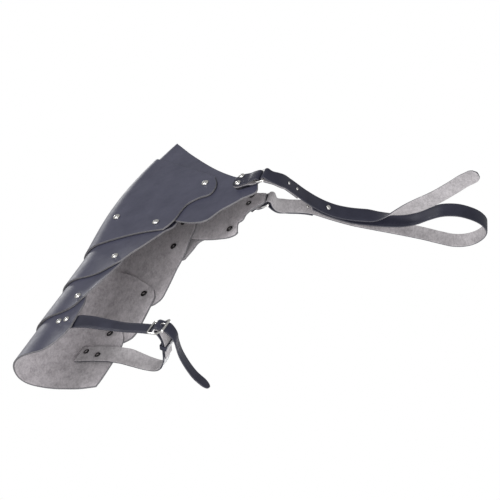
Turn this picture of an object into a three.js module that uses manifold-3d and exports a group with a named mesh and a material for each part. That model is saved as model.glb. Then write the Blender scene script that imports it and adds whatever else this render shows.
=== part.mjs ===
// Leather pauldron for the right shoulder, held as it is worn.
// +Z up, -X down the arm, -Y the wearer's front. Millimetres.
// The origin is on the inside of the crown, where the cap sits on the shoulder.
import * as THREE from 'three';
import Module from 'manifold-3d';
import { mergeVertices } from 'three/addons/utils/BufferGeometryUtils.js';

const wasm = await Module();
wasm.setup();

// Driving dimensions of the leather
const ridgeLength = 437;          // crown line from the neck to the arm end
const sideDepth = 225;            // longest fall of a side below the crown line
const bellyHalf = 36;             // half width where the sides have left the crown
const edgeHalf = 41;              // half width at the free side edges near the arm
const bendDepth = 62;             // depth of the rounded crown at the arm end
const leather = 2.4;              // thickness of the plates
const strapLeather = 2.2;         // thickness of straps and tabs
const gap = 0.3;                  // between touching pieces
const plateGap = 0.5;             // between two plates of the shell
const seatHeight = 60;            // distance of the origin down the crown line from the neck

// Driving dimensions of the fittings
const rivetHead = 4.5;            // radius of a domed cap
const rivetDome = 2.4;            // height of a domed cap
const rivetTail = 4.4;            // radius of the set end
const rivetTailHeight = 1.1;
const rivetShank = 1.9;           // radius
const smallHead = 3.2;            // radius of the small rivets of the straps
const wire = 1.4;                 // radius of ring and buckle wire
const ringLength = 10;            // between the bars of a strap ring
const chestWidth = 18;            // chest strap
const tabWidth = 18;
const armRoot = 26;               // arm straps where they are riveted
const armWidth = 16;              // arm straps at the buckle
const buckleLength = 24;          // between the end bars of the buckle
const strapReach = 270;           // chest strap from its ring to the far end of its loop
const loopFall = 136;             // how far the loop lies back from the ring
const armReach = 228;             // arm strap from the crown line to its farthest point
const armSpread = 49;             // arm strap to either side of the middle
const strapRivetHead = 4.05;      // radius of the arm straps' rivet caps
const tabRivetHead = 3.83;        // radius of the tabs' rivet caps
const foldHead = 1.92;            // radius of the rivets in the chest strap's folds

// Crown line and sections at equal steps from the neck to the arm.
// Angles in degrees, widths and depths as shares of the sizes above.
const crownSlope = [42, 46, 52, 60, 67, 68, 63, 60, 59, 59, 60];
const sectionLean = [29, 34, 39, 44, 48, 51, 53, 55, 57, 58, 59];
const bellyShare = [0.25, 0.42, 0.56, 0.67, 0.75, 0.83, 0.92, 0.97, 1, 1, 1];
const edgeShare = [0.36, 0.39, 0.44, 0.51, 0.63, 0.78, 0.9, 0.98, 1, 1, 1];
const bendShare = [0.17, 0.32, 0.45, 0.55, 0.61, 0.68, 0.74, 0.81, 0.87, 0.94, 1];
const fullShare = [1, 0.96, 0.89, 0.8, 0.71, 0.64, 0.6, 0.56, 0.52, 0.5, 0.48];

// Outlines of the plates. Edges across the crown: [share of side depth, share of crown line],
// negative depth on the front. Side edges: [share of crown line, share of side depth].
const plates = {
  neck_plate: {
    top: [[-1.05, -0.03], [-0.94, 0], [-0.8, 0.018], [-0.6, 0.023], [-0.28, 0.012], [0, 0],
      [0.28, 0.012], [0.6, 0.023], [0.8, 0.018], [0.94, 0], [1.05, -0.03]],
    hem: [[-0.86, 0.335], [-0.78, 0.347], [-0.66, 0.343], [-0.4, 0.325], [0, 0.31],
      [0.4, 0.315], [0.64, 0.317], [0.76, 0.313], [0.86, 0.303], [0.95, 0.287], [0.99, 0.268]],
    front: [[-0.03, 1.05], [0.037, 1.12], [0.117, 1.044], [0.163, 1.01], [0.233, 0.947],
      [0.31, 0.898], [0.335, 0.86]],
    back: [[-0.03, 1.05], [0.023, 1.085], [0.077, 1.031], [0.127, 0.997], [0.167, 0.995],
      [0.19, 0.972], [0.22, 0.985], [0.25, 1.0], [0.268, 0.99]],
  },
  shoulder_cap: {
    top: [[-0.68, 0.063], [-0.38, 0.073], [0, 0.085], [0.38, 0.078], [0.68, 0.12],
      [0.88, 0.18], [0.97, 0.222]],
    hem: [[-0.61, 0.413], [-0.47, 0.433], [-0.36, 0.453], [-0.245, 0.477], [-0.147, 0.498],
      [0, 0.522], [0.147, 0.498], [0.245, 0.477], [0.36, 0.453], [0.47, 0.433], [0.61, 0.405]],
    front: [[0.063, 0.68], [0.09, 0.745], [0.125, 0.775], [0.163, 0.77], [0.197, 0.71],
      [0.243, 0.66], [0.287, 0.65], [0.337, 0.65], [0.38, 0.635], [0.413, 0.61]],
    back: [[0.222, 0.97], [0.245, 0.985], [0.265, 0.95], [0.28, 0.86], [0.295, 0.76],
      [0.32, 0.69], [0.36, 0.655], [0.405, 0.61]],
  },
  upper_lame: {
    top: [[-0.6, 0.232], [-0.55, 0.218], [-0.35, 0.225], [0, 0.25], [0.35, 0.225],
      [0.56, 0.218], [0.62, 0.232]],
    hem: [[-0.45, 0.592], [-0.387, 0.62], [-0.324, 0.643], [-0.218, 0.657], [0, 0.668],
      [0.218, 0.657], [0.324, 0.643], [0.41, 0.62], [0.49, 0.596]],
    front: [[0.232, 0.6], [0.27, 0.63], [0.31, 0.635], [0.35, 0.65], [0.407, 0.62],
      [0.497, 0.551], [0.55, 0.49], [0.592, 0.45]],
    back: [[0.232, 0.62], [0.27, 0.637], [0.31, 0.635], [0.36, 0.63], [0.41, 0.605],
      [0.463, 0.573], [0.537, 0.542], [0.575, 0.525], [0.596, 0.49]],
  },
  middle_lame: {
    top: [[-0.42, 0.54], [-0.36, 0.522], [-0.25, 0.492], [0, 0.475], [0.25, 0.492],
      [0.38, 0.522], [0.46, 0.545]],
    hem: [[-0.352, 0.757], [-0.32, 0.79], [-0.262, 0.81], [-0.182, 0.822], [0, 0.828],
      [0.182, 0.804], [0.28, 0.787], [0.36, 0.772], [0.42, 0.757]],
    front: [[0.54, 0.42], [0.57, 0.44], [0.6, 0.442], [0.65, 0.428], [0.69, 0.409],
      [0.735, 0.37], [0.757, 0.352]],
    back: [[0.545, 0.46], [0.573, 0.484], [0.61, 0.48], [0.663, 0.474], [0.717, 0.47],
      [0.74, 0.455], [0.757, 0.42]],
  },
  lower_lame: {
    top: [[-0.325, 0.725], [-0.28, 0.708], [-0.18, 0.695], [0, 0.69], [0.18, 0.695],
      [0.33, 0.706], [0.385, 0.722]],
    hem: [[-0.42, 0.925], [-0.396, 0.945], [-0.369, 0.96], [-0.307, 0.977], [-0.213, 0.982],
      [-0.093, 0.976], [0, 0.968], [0.093, 0.956], [0.213, 0.951], [0.32, 0.955], [0.43, 0.945]],
    front: [[0.725, 0.325], [0.75, 0.352], [0.775, 0.38], [0.8, 0.396], [0.833, 0.405],
      [0.87, 0.417], [0.9, 0.428], [0.925, 0.42]],
    back: [[0.722, 0.385], [0.745, 0.415], [0.775, 0.433], [0.83, 0.44], [0.88, 0.44],
      [0.92, 0.437], [0.945, 0.43]],
  },
};

// Rivets through the plates: outer plate, inner plate, share of crown line, share of side depth
const plateRivets = [
  ['rivet_cap_lobe_front', 'shoulder_cap', 'neck_plate', 0.113, -0.662],
  ['rivet_cap_lobe_back', 'shoulder_cap', 'neck_plate', 0.24, 0.93],
  ['rivet_cap_middle_front', 'shoulder_cap', 'upper_lame', 0.365, -0.185],
  ['rivet_cap_middle_back', 'shoulder_cap', 'upper_lame', 0.365, 0.185],
  ['rivet_cap_side_front', 'shoulder_cap', 'upper_lame', 0.377, -0.524],
  ['rivet_cap_side_back', 'shoulder_cap', 'upper_lame', 0.363, 0.52],
  ['rivet_neck_inner_back', 'shoulder_cap', 'upper_lame', 0.25, 0.52],
  ['rivet_upper_front', 'upper_lame', 'middle_lame', 0.565, -0.373],
  ['rivet_upper_back', 'upper_lame', 'middle_lame', 0.565, 0.404],
  ['rivet_middle_front', 'middle_lame', 'lower_lame', 0.748, -0.3],
  ['rivet_middle_back', 'middle_lame', 'lower_lame', 0.735, 0.316],
];
// Rivets of the arm straps: share of crown line, share of side depth
const armStrapRivets = [[0.853, -0.28], [0.853, -0.34]];
const buckleStrapRivets = [[0.815, 0.245], [0.83, 0.335]];

// Colours
const hairSide = new THREE.Color('#565866');
const fleshSide = new THREE.Color('#9a9699');
const nickel = new THREE.Color('#c9cacf');

const degrees = Math.PI / 180;
const crossSteps = 16;
const lengthSteps = 8;
const flankSteps = 4;
const foldSteps = 4;              // round the half circle of a fold
const pitch = leather + plateGap;

// Smooth value through a table of [x, y] points
function through(table, x) {
  const last = table.length - 1;
  let i = 0;
  while (i < last - 1 && x > table[i + 1][0]) i += 1;
  const slope = (k) => {
    const a = table[Math.max(k - 1, 0)];
    const b = table[Math.min(k + 1, last)];
    return (b[1] - a[1]) / (b[0] - a[0]);
  };
  const [x0, y0] = table[i];
  const [x1, y1] = table[i + 1];
  const h = x1 - x0;
  if (x < x0) return y0 + (x - x0) * slope(i);
  if (x > x1) return y1 + (x - x1) * slope(i + 1);
  const t = (x - x0) / h;
  const t2 = t * t;
  const t3 = t2 * t;
  return (2 * t3 - 3 * t2 + 1) * y0 + (t3 - 2 * t2 + t) * h * slope(i)
    + (3 * t2 - 2 * t3) * y1 + (t3 - t2) * h * slope(i + 1);
}
const evenTable = (values, scale = 1) => values.map((v, i) => [i / (values.length - 1), v * scale]);
const slopes = evenTable(crownSlope, degrees);
const leans = evenTable(sectionLean, degrees);
const bellies = evenTable(bellyShare, bellyHalf);
const edges = evenTable(edgeShare, edgeHalf);
const bends = evenTable(bendShare, bendDepth);
const fulls = evenTable(fullShare, sideDepth);

// Crown line: sums short steps down the slope from the neck
const crownSteps = 240;
const crownStart = -0.1;
const crownEnd = 1.1;
const crownLine = [[0, 0]];
for (let i = 0; i < crownSteps; i += 1) {
  const step = (crownEnd - crownStart) / crownSteps;
  const a = through(slopes, crownStart + (i + 0.5) * step);
  const [x, z] = crownLine[i];
  crownLine.push([x - Math.cos(a) * step * ridgeLength, z - Math.sin(a) * step * ridgeLength]);
}
function crownAt(s) {
  const f = (s - crownStart) / (crownEnd - crownStart) * crownSteps;
  const i = Math.min(Math.max(Math.floor(f), 0), crownSteps - 1);
  const [x0, z0] = crownLine[i];
  const [x1, z1] = crownLine[i + 1];
  return [x0 + (x1 - x0) * (f - i), z0 + (z1 - z0) * (f - i)];
}
const seat = crownAt(seatHeight / ridgeLength);
const seatLean = through(leans, seatHeight / ridgeLength);
const seatDrop = pitch + leather;
const originX = seat[0] + Math.sin(seatLean) * seatDrop;
const originZ = seat[1] - Math.cos(seatLean) * seatDrop;

// Common surface: s runs down the crown line, turn goes around it (front negative)
const flareOn = 0.3;              // widening of the sides past their full depth
const probe = 0.004;              // shares between which a direction is measured
function turnAt(s, depth) {
  const bend = through(bends, s);
  const d = Math.abs(depth);
  const t = d < bend ? Math.acos(1 - d / bend) / (Math.PI / 2) : 1 + (d - bend) / (bend * Math.PI / 2);
  return Math.sign(depth) * t;
}
function depthAt(s, turn) {
  const bend = through(bends, s);
  const t = Math.abs(turn);
  const d = t < 1 ? bend * (1 - Math.cos(t * Math.PI / 2)) : bend + (t - 1) * bend * Math.PI / 2;
  return Math.sign(turn) * d;
}
function basePoint(s, turn) {
  const [x, z] = crownAt(s);
  const d = Math.abs(depthAt(s, turn));
  const bend = through(bends, s);
  const belly = through(bellies, s);
  const q = Math.max((d - bend) / (through(fulls, s) - bend), 0);
  const widen = q < 1 ? q * q * (3 - 2 * q) : 1 + flareOn * (q - 1);
  const w = belly * Math.sin(Math.min(Math.abs(turn), 1) * Math.PI / 2)
    + (through(edges, s) - belly) * widen;
  const lean = through(leans, s);
  return new THREE.Vector3(x + Math.sin(lean) * d - originX, Math.sign(turn) * w,
    z - Math.cos(lean) * d - originZ);
}
function outward(s, turn) {
  const around = basePoint(s, turn + probe).sub(basePoint(s, turn - probe));
  const down = basePoint(s + probe, turn).sub(basePoint(s - probe, turn));
  return around.cross(down).normalize();
}
const shellPoint = (s, turn, offset) => basePoint(s, turn).addScaledVector(outward(s, turn), offset);

// Layers: 0 is outermost. Each lame starts one layer under the plate above it
// and rises to the outside at its own lower edge.
const hemShare = (name, depthShare) => through(plates[name].hem, depthShare);
const lapShare = 0.03;            // crown share in which a lame rises past the plate before it
const layerOf = {
  shoulder_cap: () => 0,
  neck_plate: () => -1,
  upper_lame(s, d) {
    const cap = hemShare('shoulder_cap', d);
    const own = hemShare('upper_lame', d);
    const under = hemShare('neck_plate', d) + lapShare;
    if (s > cap) return -1 + Math.min((s - cap) / (own - cap), 1);
    return -1 - Math.min((cap - s) / (cap - under), 1);
  },
  middle_lame(s, d) {
    const above = hemShare('upper_lame', d);
    if (s < above) return layerOf.upper_lame(s, d) - 1;
    return -1 + Math.min((s - above) / (hemShare('middle_lame', d) - above), 1);
  },
  lower_lame(s, d) {
    const above = hemShare('middle_lame', d);
    if (s < above) return layerOf.middle_lame(s, d) - 1;
    return -1 + Math.min((s - above) / (hemShare('lower_lame', d) - above), 1);
  },
};
function facePoint(name, s, turn, below) {
  const d = depthAt(s, turn) / sideDepth;
  return shellPoint(s, turn, layerOf[name](s, d) * pitch - below);
}

// A plate's grid of [s, turn]: fixed turns over the crown, then a flank to each side edge
const flankTurn = 1.2;
const edgeRounds = 6;             // to settle where a turn meets a plate's edge
function plateGrid(name, rows, columns, flank) {
  const plate = plates[name];
  const edgeAt = (table, turn) => {
    let s = through(table, 0);
    for (let k = 0; k < edgeRounds; k += 1) s = through(table, depthAt(s, turn) / sideDepth);
    return s;
  };
  // Point of a flank, blended between its four edges: f runs from top to hem, u to the side
  const flankPoint = (side, f, u) => {
    const edge = side < 0 ? plate.front : plate.back;
    const [firstS, firstShare] = edge[0];
    const [lastS, lastShare] = edge[edge.length - 1];
    const inner = side * flankTurn;
    const topInner = edgeAt(plate.top, inner);
    const hemInner = edgeAt(plate.hem, inner);
    const corners = [
      [topInner, depthAt(topInner, inner)], [firstS, side * firstShare * sideDepth],
      [hemInner, depthAt(hemInner, inner)], [lastS, side * lastShare * sideDepth],
    ];
    const across = (table, from, to) => {
      const depth = from[1] + u * (to[1] - from[1]);
      return [through(table, depth / sideDepth), depth];
    };
    const top = across(plate.top, corners[0], corners[1]);
    const hem = across(plate.hem, corners[2], corners[3]);
    const innerS = topInner + f * (hemInner - topInner);
    const innerSide = [innerS, depthAt(innerS, inner)];
    const outerS = firstS + f * (lastS - firstS);
    const outerSide = [outerS, side * through(edge, outerS) * sideDepth];
    const [s, depth] = [0, 1].map((k) => (1 - f) * top[k] + f * hem[k]
      + (1 - u) * innerSide[k] + u * outerSide[k]
      - (1 - f) * ((1 - u) * corners[0][k] + u * corners[1][k])
      - f * ((1 - u) * corners[2][k] + u * corners[3][k]));
    return [s, turnAt(s, depth)];
  };
  const grid = [];
  for (let i = 0; i <= rows; i += 1) {
    const f = i / rows;
    const row = [];
    for (let j = flank; j > 0; j -= 1) row.push(flankPoint(-1, f, j / flank));
    for (let j = 0; j <= columns; j += 1) {
      const turn = flankTurn * (2 * j / columns - 1);
      const top = edgeAt(plate.top, turn);
      row.push([top + f * (edgeAt(plate.hem, turn) - top), turn]);
    }
    for (let j = 1; j <= flank; j += 1) row.push(flankPoint(1, f, j / flank));
    grid.push(row);
  }
  return grid;
}

// Closed body between two equal grids of points, the first one outside
function slab(outer, inner) {
  const rows = outer.length;
  const columns = outer[0].length;
  const positions = [...outer.flat(), ...inner.flat()].flatMap((p) => [p.x, p.y, p.z]);
  const half = rows * columns;
  const index = [];
  const quad = (a, b, c, d) => index.push(a, b, c, a, c, d);
  const at = (i, j) => i * columns + j;
  for (let i = 0; i < rows - 1; i += 1) {
    for (let j = 0; j < columns - 1; j += 1) {
      quad(at(i, j), at(i, j + 1), at(i + 1, j + 1), at(i + 1, j));
      quad(half + at(i, j), half + at(i + 1, j), half + at(i + 1, j + 1), half + at(i, j + 1));
    }
  }
  const wall = (a, b) => quad(b, a, half + a, half + b);
  for (let j = 0; j < columns - 1; j += 1) {
    wall(at(0, j), at(0, j + 1));
    wall(at(rows - 1, j + 1), at(rows - 1, j));
  }
  for (let i = 0; i < rows - 1; i += 1) {
    wall(at(i + 1, 0), at(i, 0));
    wall(at(i, columns - 1), at(i + 1, columns - 1));
  }
  const geometry = new THREE.BufferGeometry();
  geometry.setAttribute('position', new THREE.Float32BufferAttribute(positions, 3));
  geometry.setIndex(index);
  return geometry;
}

function solidOf(geometry) {
  const bare = geometry.clone();
  bare.deleteAttribute('normal');
  bare.deleteAttribute('uv');
  const merged = mergeVertices(bare, 1e-4);
  return new wasm.Manifold(new wasm.Mesh({
    numProp: 3,
    vertProperties: new Float32Array(merged.attributes.position.array),
    triVerts: new Uint32Array(merged.index.array),
  }));
}
function geometryOf(solid) {
  const mesh = solid.getMesh();
  const geometry = new THREE.BufferGeometry();
  geometry.setAttribute('position', new THREE.Float32BufferAttribute(mesh.vertProperties, 3));
  geometry.setIndex([...mesh.triVerts]);
  return geometry;
}
// A turned profile of [radius, height], stood on a point along an axis
function turned(profile, sides, point, axis) {
  const geometry = new THREE.LatheGeometry(profile.map(([r, h]) => new THREE.Vector2(r, h)), sides);
  const up = new THREE.Quaternion().setFromUnitVectors(new THREE.Vector3(0, 1, 0), axis);
  geometry.applyQuaternion(up);
  geometry.translate(point.x, point.y, point.z);
  return geometry;
}

const part = new THREE.Group();
const bodies = {};
const holes = {};
function addMesh(name, geometry, color, roughness, metalness) {
  const material = new THREE.MeshStandardMaterial({ color, roughness, metalness });
  const mesh = new THREE.Mesh(geometry, material);
  mesh.name = name;
  part.add(mesh);
}
const addMetal = (name, geometry) => addMesh(name, geometry, nickel, 0.25, 1);
const drill = (name, tool) => { (holes[name] ??= []).push(tool); };

// Rivet from an outer face to an inner face, with its holes in the leather between
const rivetSides = 7;
const rivetSeat = 0.6;            // of a rivet's head and tail off the leather
const domeRound = [0.8, 0.7];     // radius and height, as shares, where a cap rounds over
function rivet(name, outer, inner, axis, head, leathers) {
  const dome = rivetDome * head / rivetHead;
  const tail = rivetTail * head / rivetHead;
  const shank = rivetShank * head / rivetHead;
  const span = outer.distanceTo(inner) + 2 * rivetSeat;
  const foot = inner.clone().addScaledVector(axis, -rivetSeat);
  const profile = [[0, -rivetTailHeight], [tail, -rivetTailHeight], [tail, 0], [shank, 0],
    [shank, span], [head, span], [head * domeRound[0], span + dome * domeRound[1]], [0, span + dome]];
  addMetal(name, turned(profile, rivetSides, foot, axis));
  const hole = [[0, -span], [shank + gap, -span], [shank + gap, 2 * span], [0, 2 * span]];
  for (const leatherName of leathers) {
    drill(leatherName, turned(hole, rivetSides, foot, axis));
  }
}

// Ribbon of leather along a route, with a width direction and a width at each point
function ribbon(points, widths, sides, thickness) {
  const outer = [];
  const inner = [];
  points.forEach((p, i) => {
    const ahead = points[Math.min(i + 1, points.length - 1)];
    const behind = points[Math.max(i - 1, 0)];
    const along = ahead.clone().sub(behind).normalize();
    const across = sides[i].clone().addScaledVector(along, -sides[i].dot(along)).normalize();
    const normal = across.clone().cross(along).normalize();
    const edgePoints = (lift) => [-1, 1].map((e) => p.clone().addScaledVector(normal, lift)
      .addScaledVector(across, e * widths[i] / 2));
    outer.push(edgePoints(thickness / 2));
    inner.push(edgePoints(-thickness / 2));
  });
  return slab(outer, inner);
}
const curve = (points) => new THREE.CatmullRomCurve3(points, false, 'centripetal');
// Strap folded round a bar at the start of a flat route: the return end, the fold, then the
// route. The route's left side is the main layer and its right side the return.
const foldClear = 0.75;           // between a bar and the strap folded round it
const foldRadius = wire + foldClear + strapLeather / 2;
const foldEasing = 14;            // length in which the two layers come together
function folded(route, returnLength, stepLength) {
  const line = curve(route.map(([x, y]) => new THREE.Vector3(x, y, 0)));
  const total = line.getLength();
  const first = line.getTangentAt(0);
  const lay = strapLeather + gap;
  const ease = (distance) => Math.max(0, 1 - distance / foldEasing) ** 2;
  const sidePoint = (share, shift) => {
    const p = line.getPointAt(share);
    const t = line.getTangentAt(share);
    return [p.x - t.y * shift, p.y + t.x * shift];
  };
  const result = [];
  const returnSteps = Math.ceil(returnLength / stepLength);
  for (let i = returnSteps; i > 0; i -= 1) {
    const distance = returnLength * i / returnSteps;
    result.push(sidePoint(distance / total, -lay - (foldRadius - lay) * ease(distance)));
  }
  for (let k = 0; k <= foldSteps; k += 1) {
    const a = Math.PI * (k / foldSteps - 0.5);
    const back = -Math.cos(a) * foldRadius;
    result.push([route[0][0] + first.x * back - first.y * Math.sin(a) * foldRadius,
      route[0][1] + first.y * back + first.x * Math.sin(a) * foldRadius]);
  }
  const steps = Math.round(total / stepLength);
  for (let i = 1; i <= steps; i += 1) {
    result.push(sidePoint(i / steps, foldRadius * ease(total * i / steps)));
  }
  return result;
}
// Widths along a strap: a rounded point over tipLength at the far end
const bluntShare = 0.25;          // of the width, at the very tip
function pointed(points, width, tipLength) {
  let left = 0;
  const widths = points.map(() => width);
  for (let i = points.length - 1; i >= 0 && left < tipLength; i -= 1) {
    widths[i] = width * Math.max(Math.sqrt(1 - (1 - left / tipLength) ** 2), bluntShare);
    if (i > 0) left += points[i].distanceTo(points[i - 1]);
  }
  return widths;
}
// Wire pieces: rods with balls at their ends, joined into one body
const wireSides = 6;
const ballShare = 1.03;           // of a corner ball to its wire
const ballSteps = 4;
function wireBody(pairs, radius) {
  let body = null;
  const join = (geometry) => {
    const next = solidOf(geometry);
    body = body ? body.add(next) : next;
  };
  for (const [from, to] of pairs) {
    const length = from.distanceTo(to);
    const axis = to.clone().sub(from).normalize();
    join(turned([[0, 0], [radius, 0], [radius, length], [0, length]], wireSides, from, axis));
  }
  for (const end of new Set(pairs.flat())) {
    const ball = new THREE.SphereGeometry(radius * ballShare, wireSides, ballSteps);
    join(ball.translate(end.x, end.y, end.z));
  }
  return geometryOf(body);
}

// Plates
for (const name of Object.keys(plates)) {
  const grid = plateGrid(name, lengthSteps, crossSteps, flankSteps);
  const outer = grid.map((row) => row.map(([s, turn]) => facePoint(name, s, turn, 0)));
  const inner = grid.map((row) => row.map(([s, turn]) => facePoint(name, s, turn, leather)));
  bodies[name] = slab(outer, inner);
}

// Rivets through the plates
const between = {
  shoulder_cap: ['shoulder_cap', 'neck_plate'],
  upper_lame: ['upper_lame'],
  middle_lame: ['middle_lame'],
};
for (const [name, over, under, s, share] of plateRivets) {
  const turn = turnAt(s, share * sideDepth);
  const outer = facePoint(over, s, turn, 0);
  const inner = facePoint(under, s, turn, leather);
  const axis = outer.clone().sub(inner).normalize();
  rivet(name, outer, inner, axis, rivetHead, [...new Set([...between[over], under])]);
}

// Arm straps lie in the plane of one section of the lower lame
const armShare = 0.862;
const buckleShare = 0.822;
const armLean = through(leans, armShare);
const downArm = new THREE.Vector3(-Math.cos(armLean), 0, -Math.sin(armLean));
const depthAxis = new THREE.Vector3(Math.sin(armLean), 0, -Math.cos(armLean));
function armPoint(s, depth, y) {
  const [x, z] = crownAt(s);
  return new THREE.Vector3(x + Math.sin(armLean) * depth - originX, y,
    z - Math.cos(armLean) * depth - originZ);
}
const rootRise = 1.1;             // of a strap off the curved lame under it
const rootDrop = leather + rootRise + strapLeather / 2;
const rootPoint = (s, share) => facePoint('lower_lame', s, turnAt(s, share * sideDepth), rootDrop);
const barShares = [0.935, -0.2];  // of the reach and the spread, where the buckle's middle bar is
const bar = { depth: barShares[0] * armReach, y: barShares[1] * armSpread };
const endBarStep = 3.08;          // of the end bars in front of the middle bar
const endBarY = bar.y - endBarStep;
const halfBuckle = buckleLength / 2;
const quarterBuckle = buckleLength / 4;
const underBar = endBarY + wire + gap + strapLeather / 2;
const overBar = bar.y - foldRadius - strapLeather - 3 * gap;
// Front strap from the lame's edge to the buckle, over its middle bar, then the hanging tail
const armRoute = [[0.505, -0.63], [0.58, -0.52], [0.7, -0.36], [0.785, -0.29], [0.84, -0.24]]
  .map(([d, y]) => [d * armReach, y * armSpread]);
const midBar = (underBar + overBar) / 2;
armRoute.push([bar.depth - halfBuckle, underBar], [bar.depth - quarterBuckle, midBar],
  [bar.depth, overBar], [bar.depth + quarterBuckle, midBar], [bar.depth + halfBuckle, underBar]);
const tailRoute = [[1, -0.05], [1.0, 0.12], [0.982, 0.33], [0.962, 0.62], [0.954, 0.98],
  [0.96, 1.33], [0.982, 1.58], [1.0, 1.76]].map(([d, y]) => [d * armReach, y * armSpread]);
const frontRoot = [-0.235, -0.27, -0.31, -0.35, -0.39, -0.415].map((share) => rootPoint(armShare, share));
const frontFree = [...armRoute, ...tailRoute].map(([d, y]) => armPoint(armShare, d, y));
const armLine = curve([...frontRoot, ...frontFree]);
const armSteps = 48;
const armTip = 12;                // length of the tail's rounded point
const armNarrowing = 0.38;        // share of its length in which the strap narrows
const tailTwistShare = 0.62;      // share where the hanging tail starts to turn
const tailTwistLength = 0.12;
const tailTwist = -20 * degrees;
const armPoints = armLine.getSpacedPoints(armSteps);
const armWidths = pointed(armPoints, armWidth, armTip).map((w, i) => {
  const f = Math.min(i / (armSteps * armNarrowing), 1);
  return w * (armRoot + (armWidth - armRoot) * f) / armWidth;
});
const armSides = armPoints.map((p, i) => {
  const along = armLine.getTangentAt(i / armSteps);
  const f = Math.min(Math.max((i / armSteps - tailTwistShare) / tailTwistLength, 0), 1);
  return downArm.clone().applyAxisAngle(along, tailTwist * f * f * (3 - 2 * f));
});
bodies.arm_strap = ribbon(armPoints, armWidths, armSides, strapLeather);

// Buckle strap from the back of the lame, folded round the buckle's middle bar
const buckleRoute = [barShares, [0.925, 0.1], [0.89, 0.4], [0.845, 0.72], [0.79, 0.92], [0.735, 1],
  [0.655, 0.97], [0.57, 0.88], [0.5, 0.8]].map(([d, y]) => [d * armReach, y * armSpread]);
const buckleReturn = 42;
const buckleTurnShare = 0.6;      // of its length, where it starts to widen and turn
const buckleStep = 6;             // between the sections of the buckle strap
const buckleFlat = folded(buckleRoute, buckleReturn, buckleStep);
const buckleLast = buckleFlat.length - 1;
const buckleFree = buckleFlat.map(([d, y], i) => {
  const f = Math.max(0, i / buckleLast - buckleTurnShare) / (1 - buckleTurnShare);
  return armPoint(armShare + (buckleShare - armShare) * f, d, y);
});
const backRoot = [0.425, 0.39, 0.35, 0.31, 0.27, 0.23, 0.195].map((share) => rootPoint(buckleShare, share));
const bucklePoints = [...buckleFree, ...backRoot];
const buckleWidths = bucklePoints.map((p, i) => {
  const f = Math.min(Math.max((i / buckleLast - buckleTurnShare) / (1 - buckleTurnShare), 0), 1);
  return armWidth + (armRoot - armWidth) * f;
});
bodies.buckle_strap = ribbon(bucklePoints, buckleWidths, bucklePoints.map(() => downArm), strapLeather);

// Strap rivets through the lower lame
function strapRivet(name, s, share, strapName) {
  const turn = turnAt(s, share * sideDepth);
  const outer = facePoint('lower_lame', s, turn, 0);
  const inner = facePoint('lower_lame', s, turn, rootDrop + strapLeather / 2);
  const axis = outer.clone().sub(inner).normalize();
  rivet(name, outer, inner, axis, strapRivetHead, ['lower_lame', strapName]);
}
for (const [strapName, places] of [['arm_strap', armStrapRivets], ['buckle_strap', buckleStrapRivets]]) {
  places.forEach(([s, share], i) => strapRivet(`rivet_${strapName}_${i + 1}`, s, share, strapName));
}

// Buckle: two end bars and a middle bar between two side wires, and a tongue
const buckleHalfWidth = armWidth / 2 + wire + 2 * gap;
const barEnds = (depth, y) => [1, -1].map((e) => armPoint(armShare, depth, y)
  .addScaledVector(downArm, e * buckleHalfWidth));
const nearBar = barEnds(bar.depth - halfBuckle, endBarY);
const middleBar = barEnds(bar.depth, bar.y);
const farBar = barEnds(bar.depth + halfBuckle, endBarY);
addMetal('buckle_frame', wireBody([[nearBar[0], nearBar[1]], [middleBar[0], middleBar[1]],
  [farBar[0], farBar[1]], [nearBar[0], middleBar[0]], [nearBar[1], middleBar[1]],
  [middleBar[0], farBar[0]], [middleBar[1], farBar[1]]], wire));
const tongueRadius = 0.9;
const tongueFoot = bar.y - wire - gap - tongueRadius;
const tongueTop = endBarY - wire - gap - tongueRadius;
const tongueBack = 1;             // behind the middle bar
const tongueOver = 1.5;           // past the end bar
const tongueBends = [0.3, 0.62];  // shares of half the buckle where the tongue bends
const tongueBows = [1.2, 0.6];    // how far it stands out at these bends
const tonguePoints = [[bar.depth - tongueBack, tongueFoot],
  [bar.depth + halfBuckle * tongueBends[0], tongueFoot - tongueBows[0]],
  [bar.depth + halfBuckle * tongueBends[1], tongueTop - tongueBows[1]],
  [bar.depth + halfBuckle + tongueOver, tongueTop]].map(([d, y]) => armPoint(armShare, d, y));
addMetal('buckle_tongue', wireBody([[tonguePoints[0], tonguePoints[1]], [tonguePoints[1], tonguePoints[2]],
  [tonguePoints[2], tonguePoints[3]]], tongueRadius));
// Slot through the strap over the tongue, and through the fold round the middle bar
function slot(leatherName, mid, along, long, thick) {
  const up = along.clone().cross(downArm).normalize();
  const box = new THREE.BoxGeometry(long, 2 * (tongueRadius + 2 * gap), thick);
  box.applyMatrix4(new THREE.Matrix4().makeBasis(along, downArm, up));
  drill(leatherName, box.translate(mid.x, mid.y, mid.z));
}
const [, bendLow, bendHigh] = tonguePoints;
slot('arm_strap', bendLow.clone().lerp(bendHigh, 0.5), bendHigh.clone().sub(bendLow).normalize(),
  halfBuckle, 4 * strapLeather);
const foldSlotLong = 11;
const foldSlotThick = strapLeather + 10 * gap;
slot('buckle_strap', armPoint(armShare, bar.depth, bar.y - foldRadius + gap), depthAxis,
  foldSlotLong, foldSlotThick);

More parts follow.
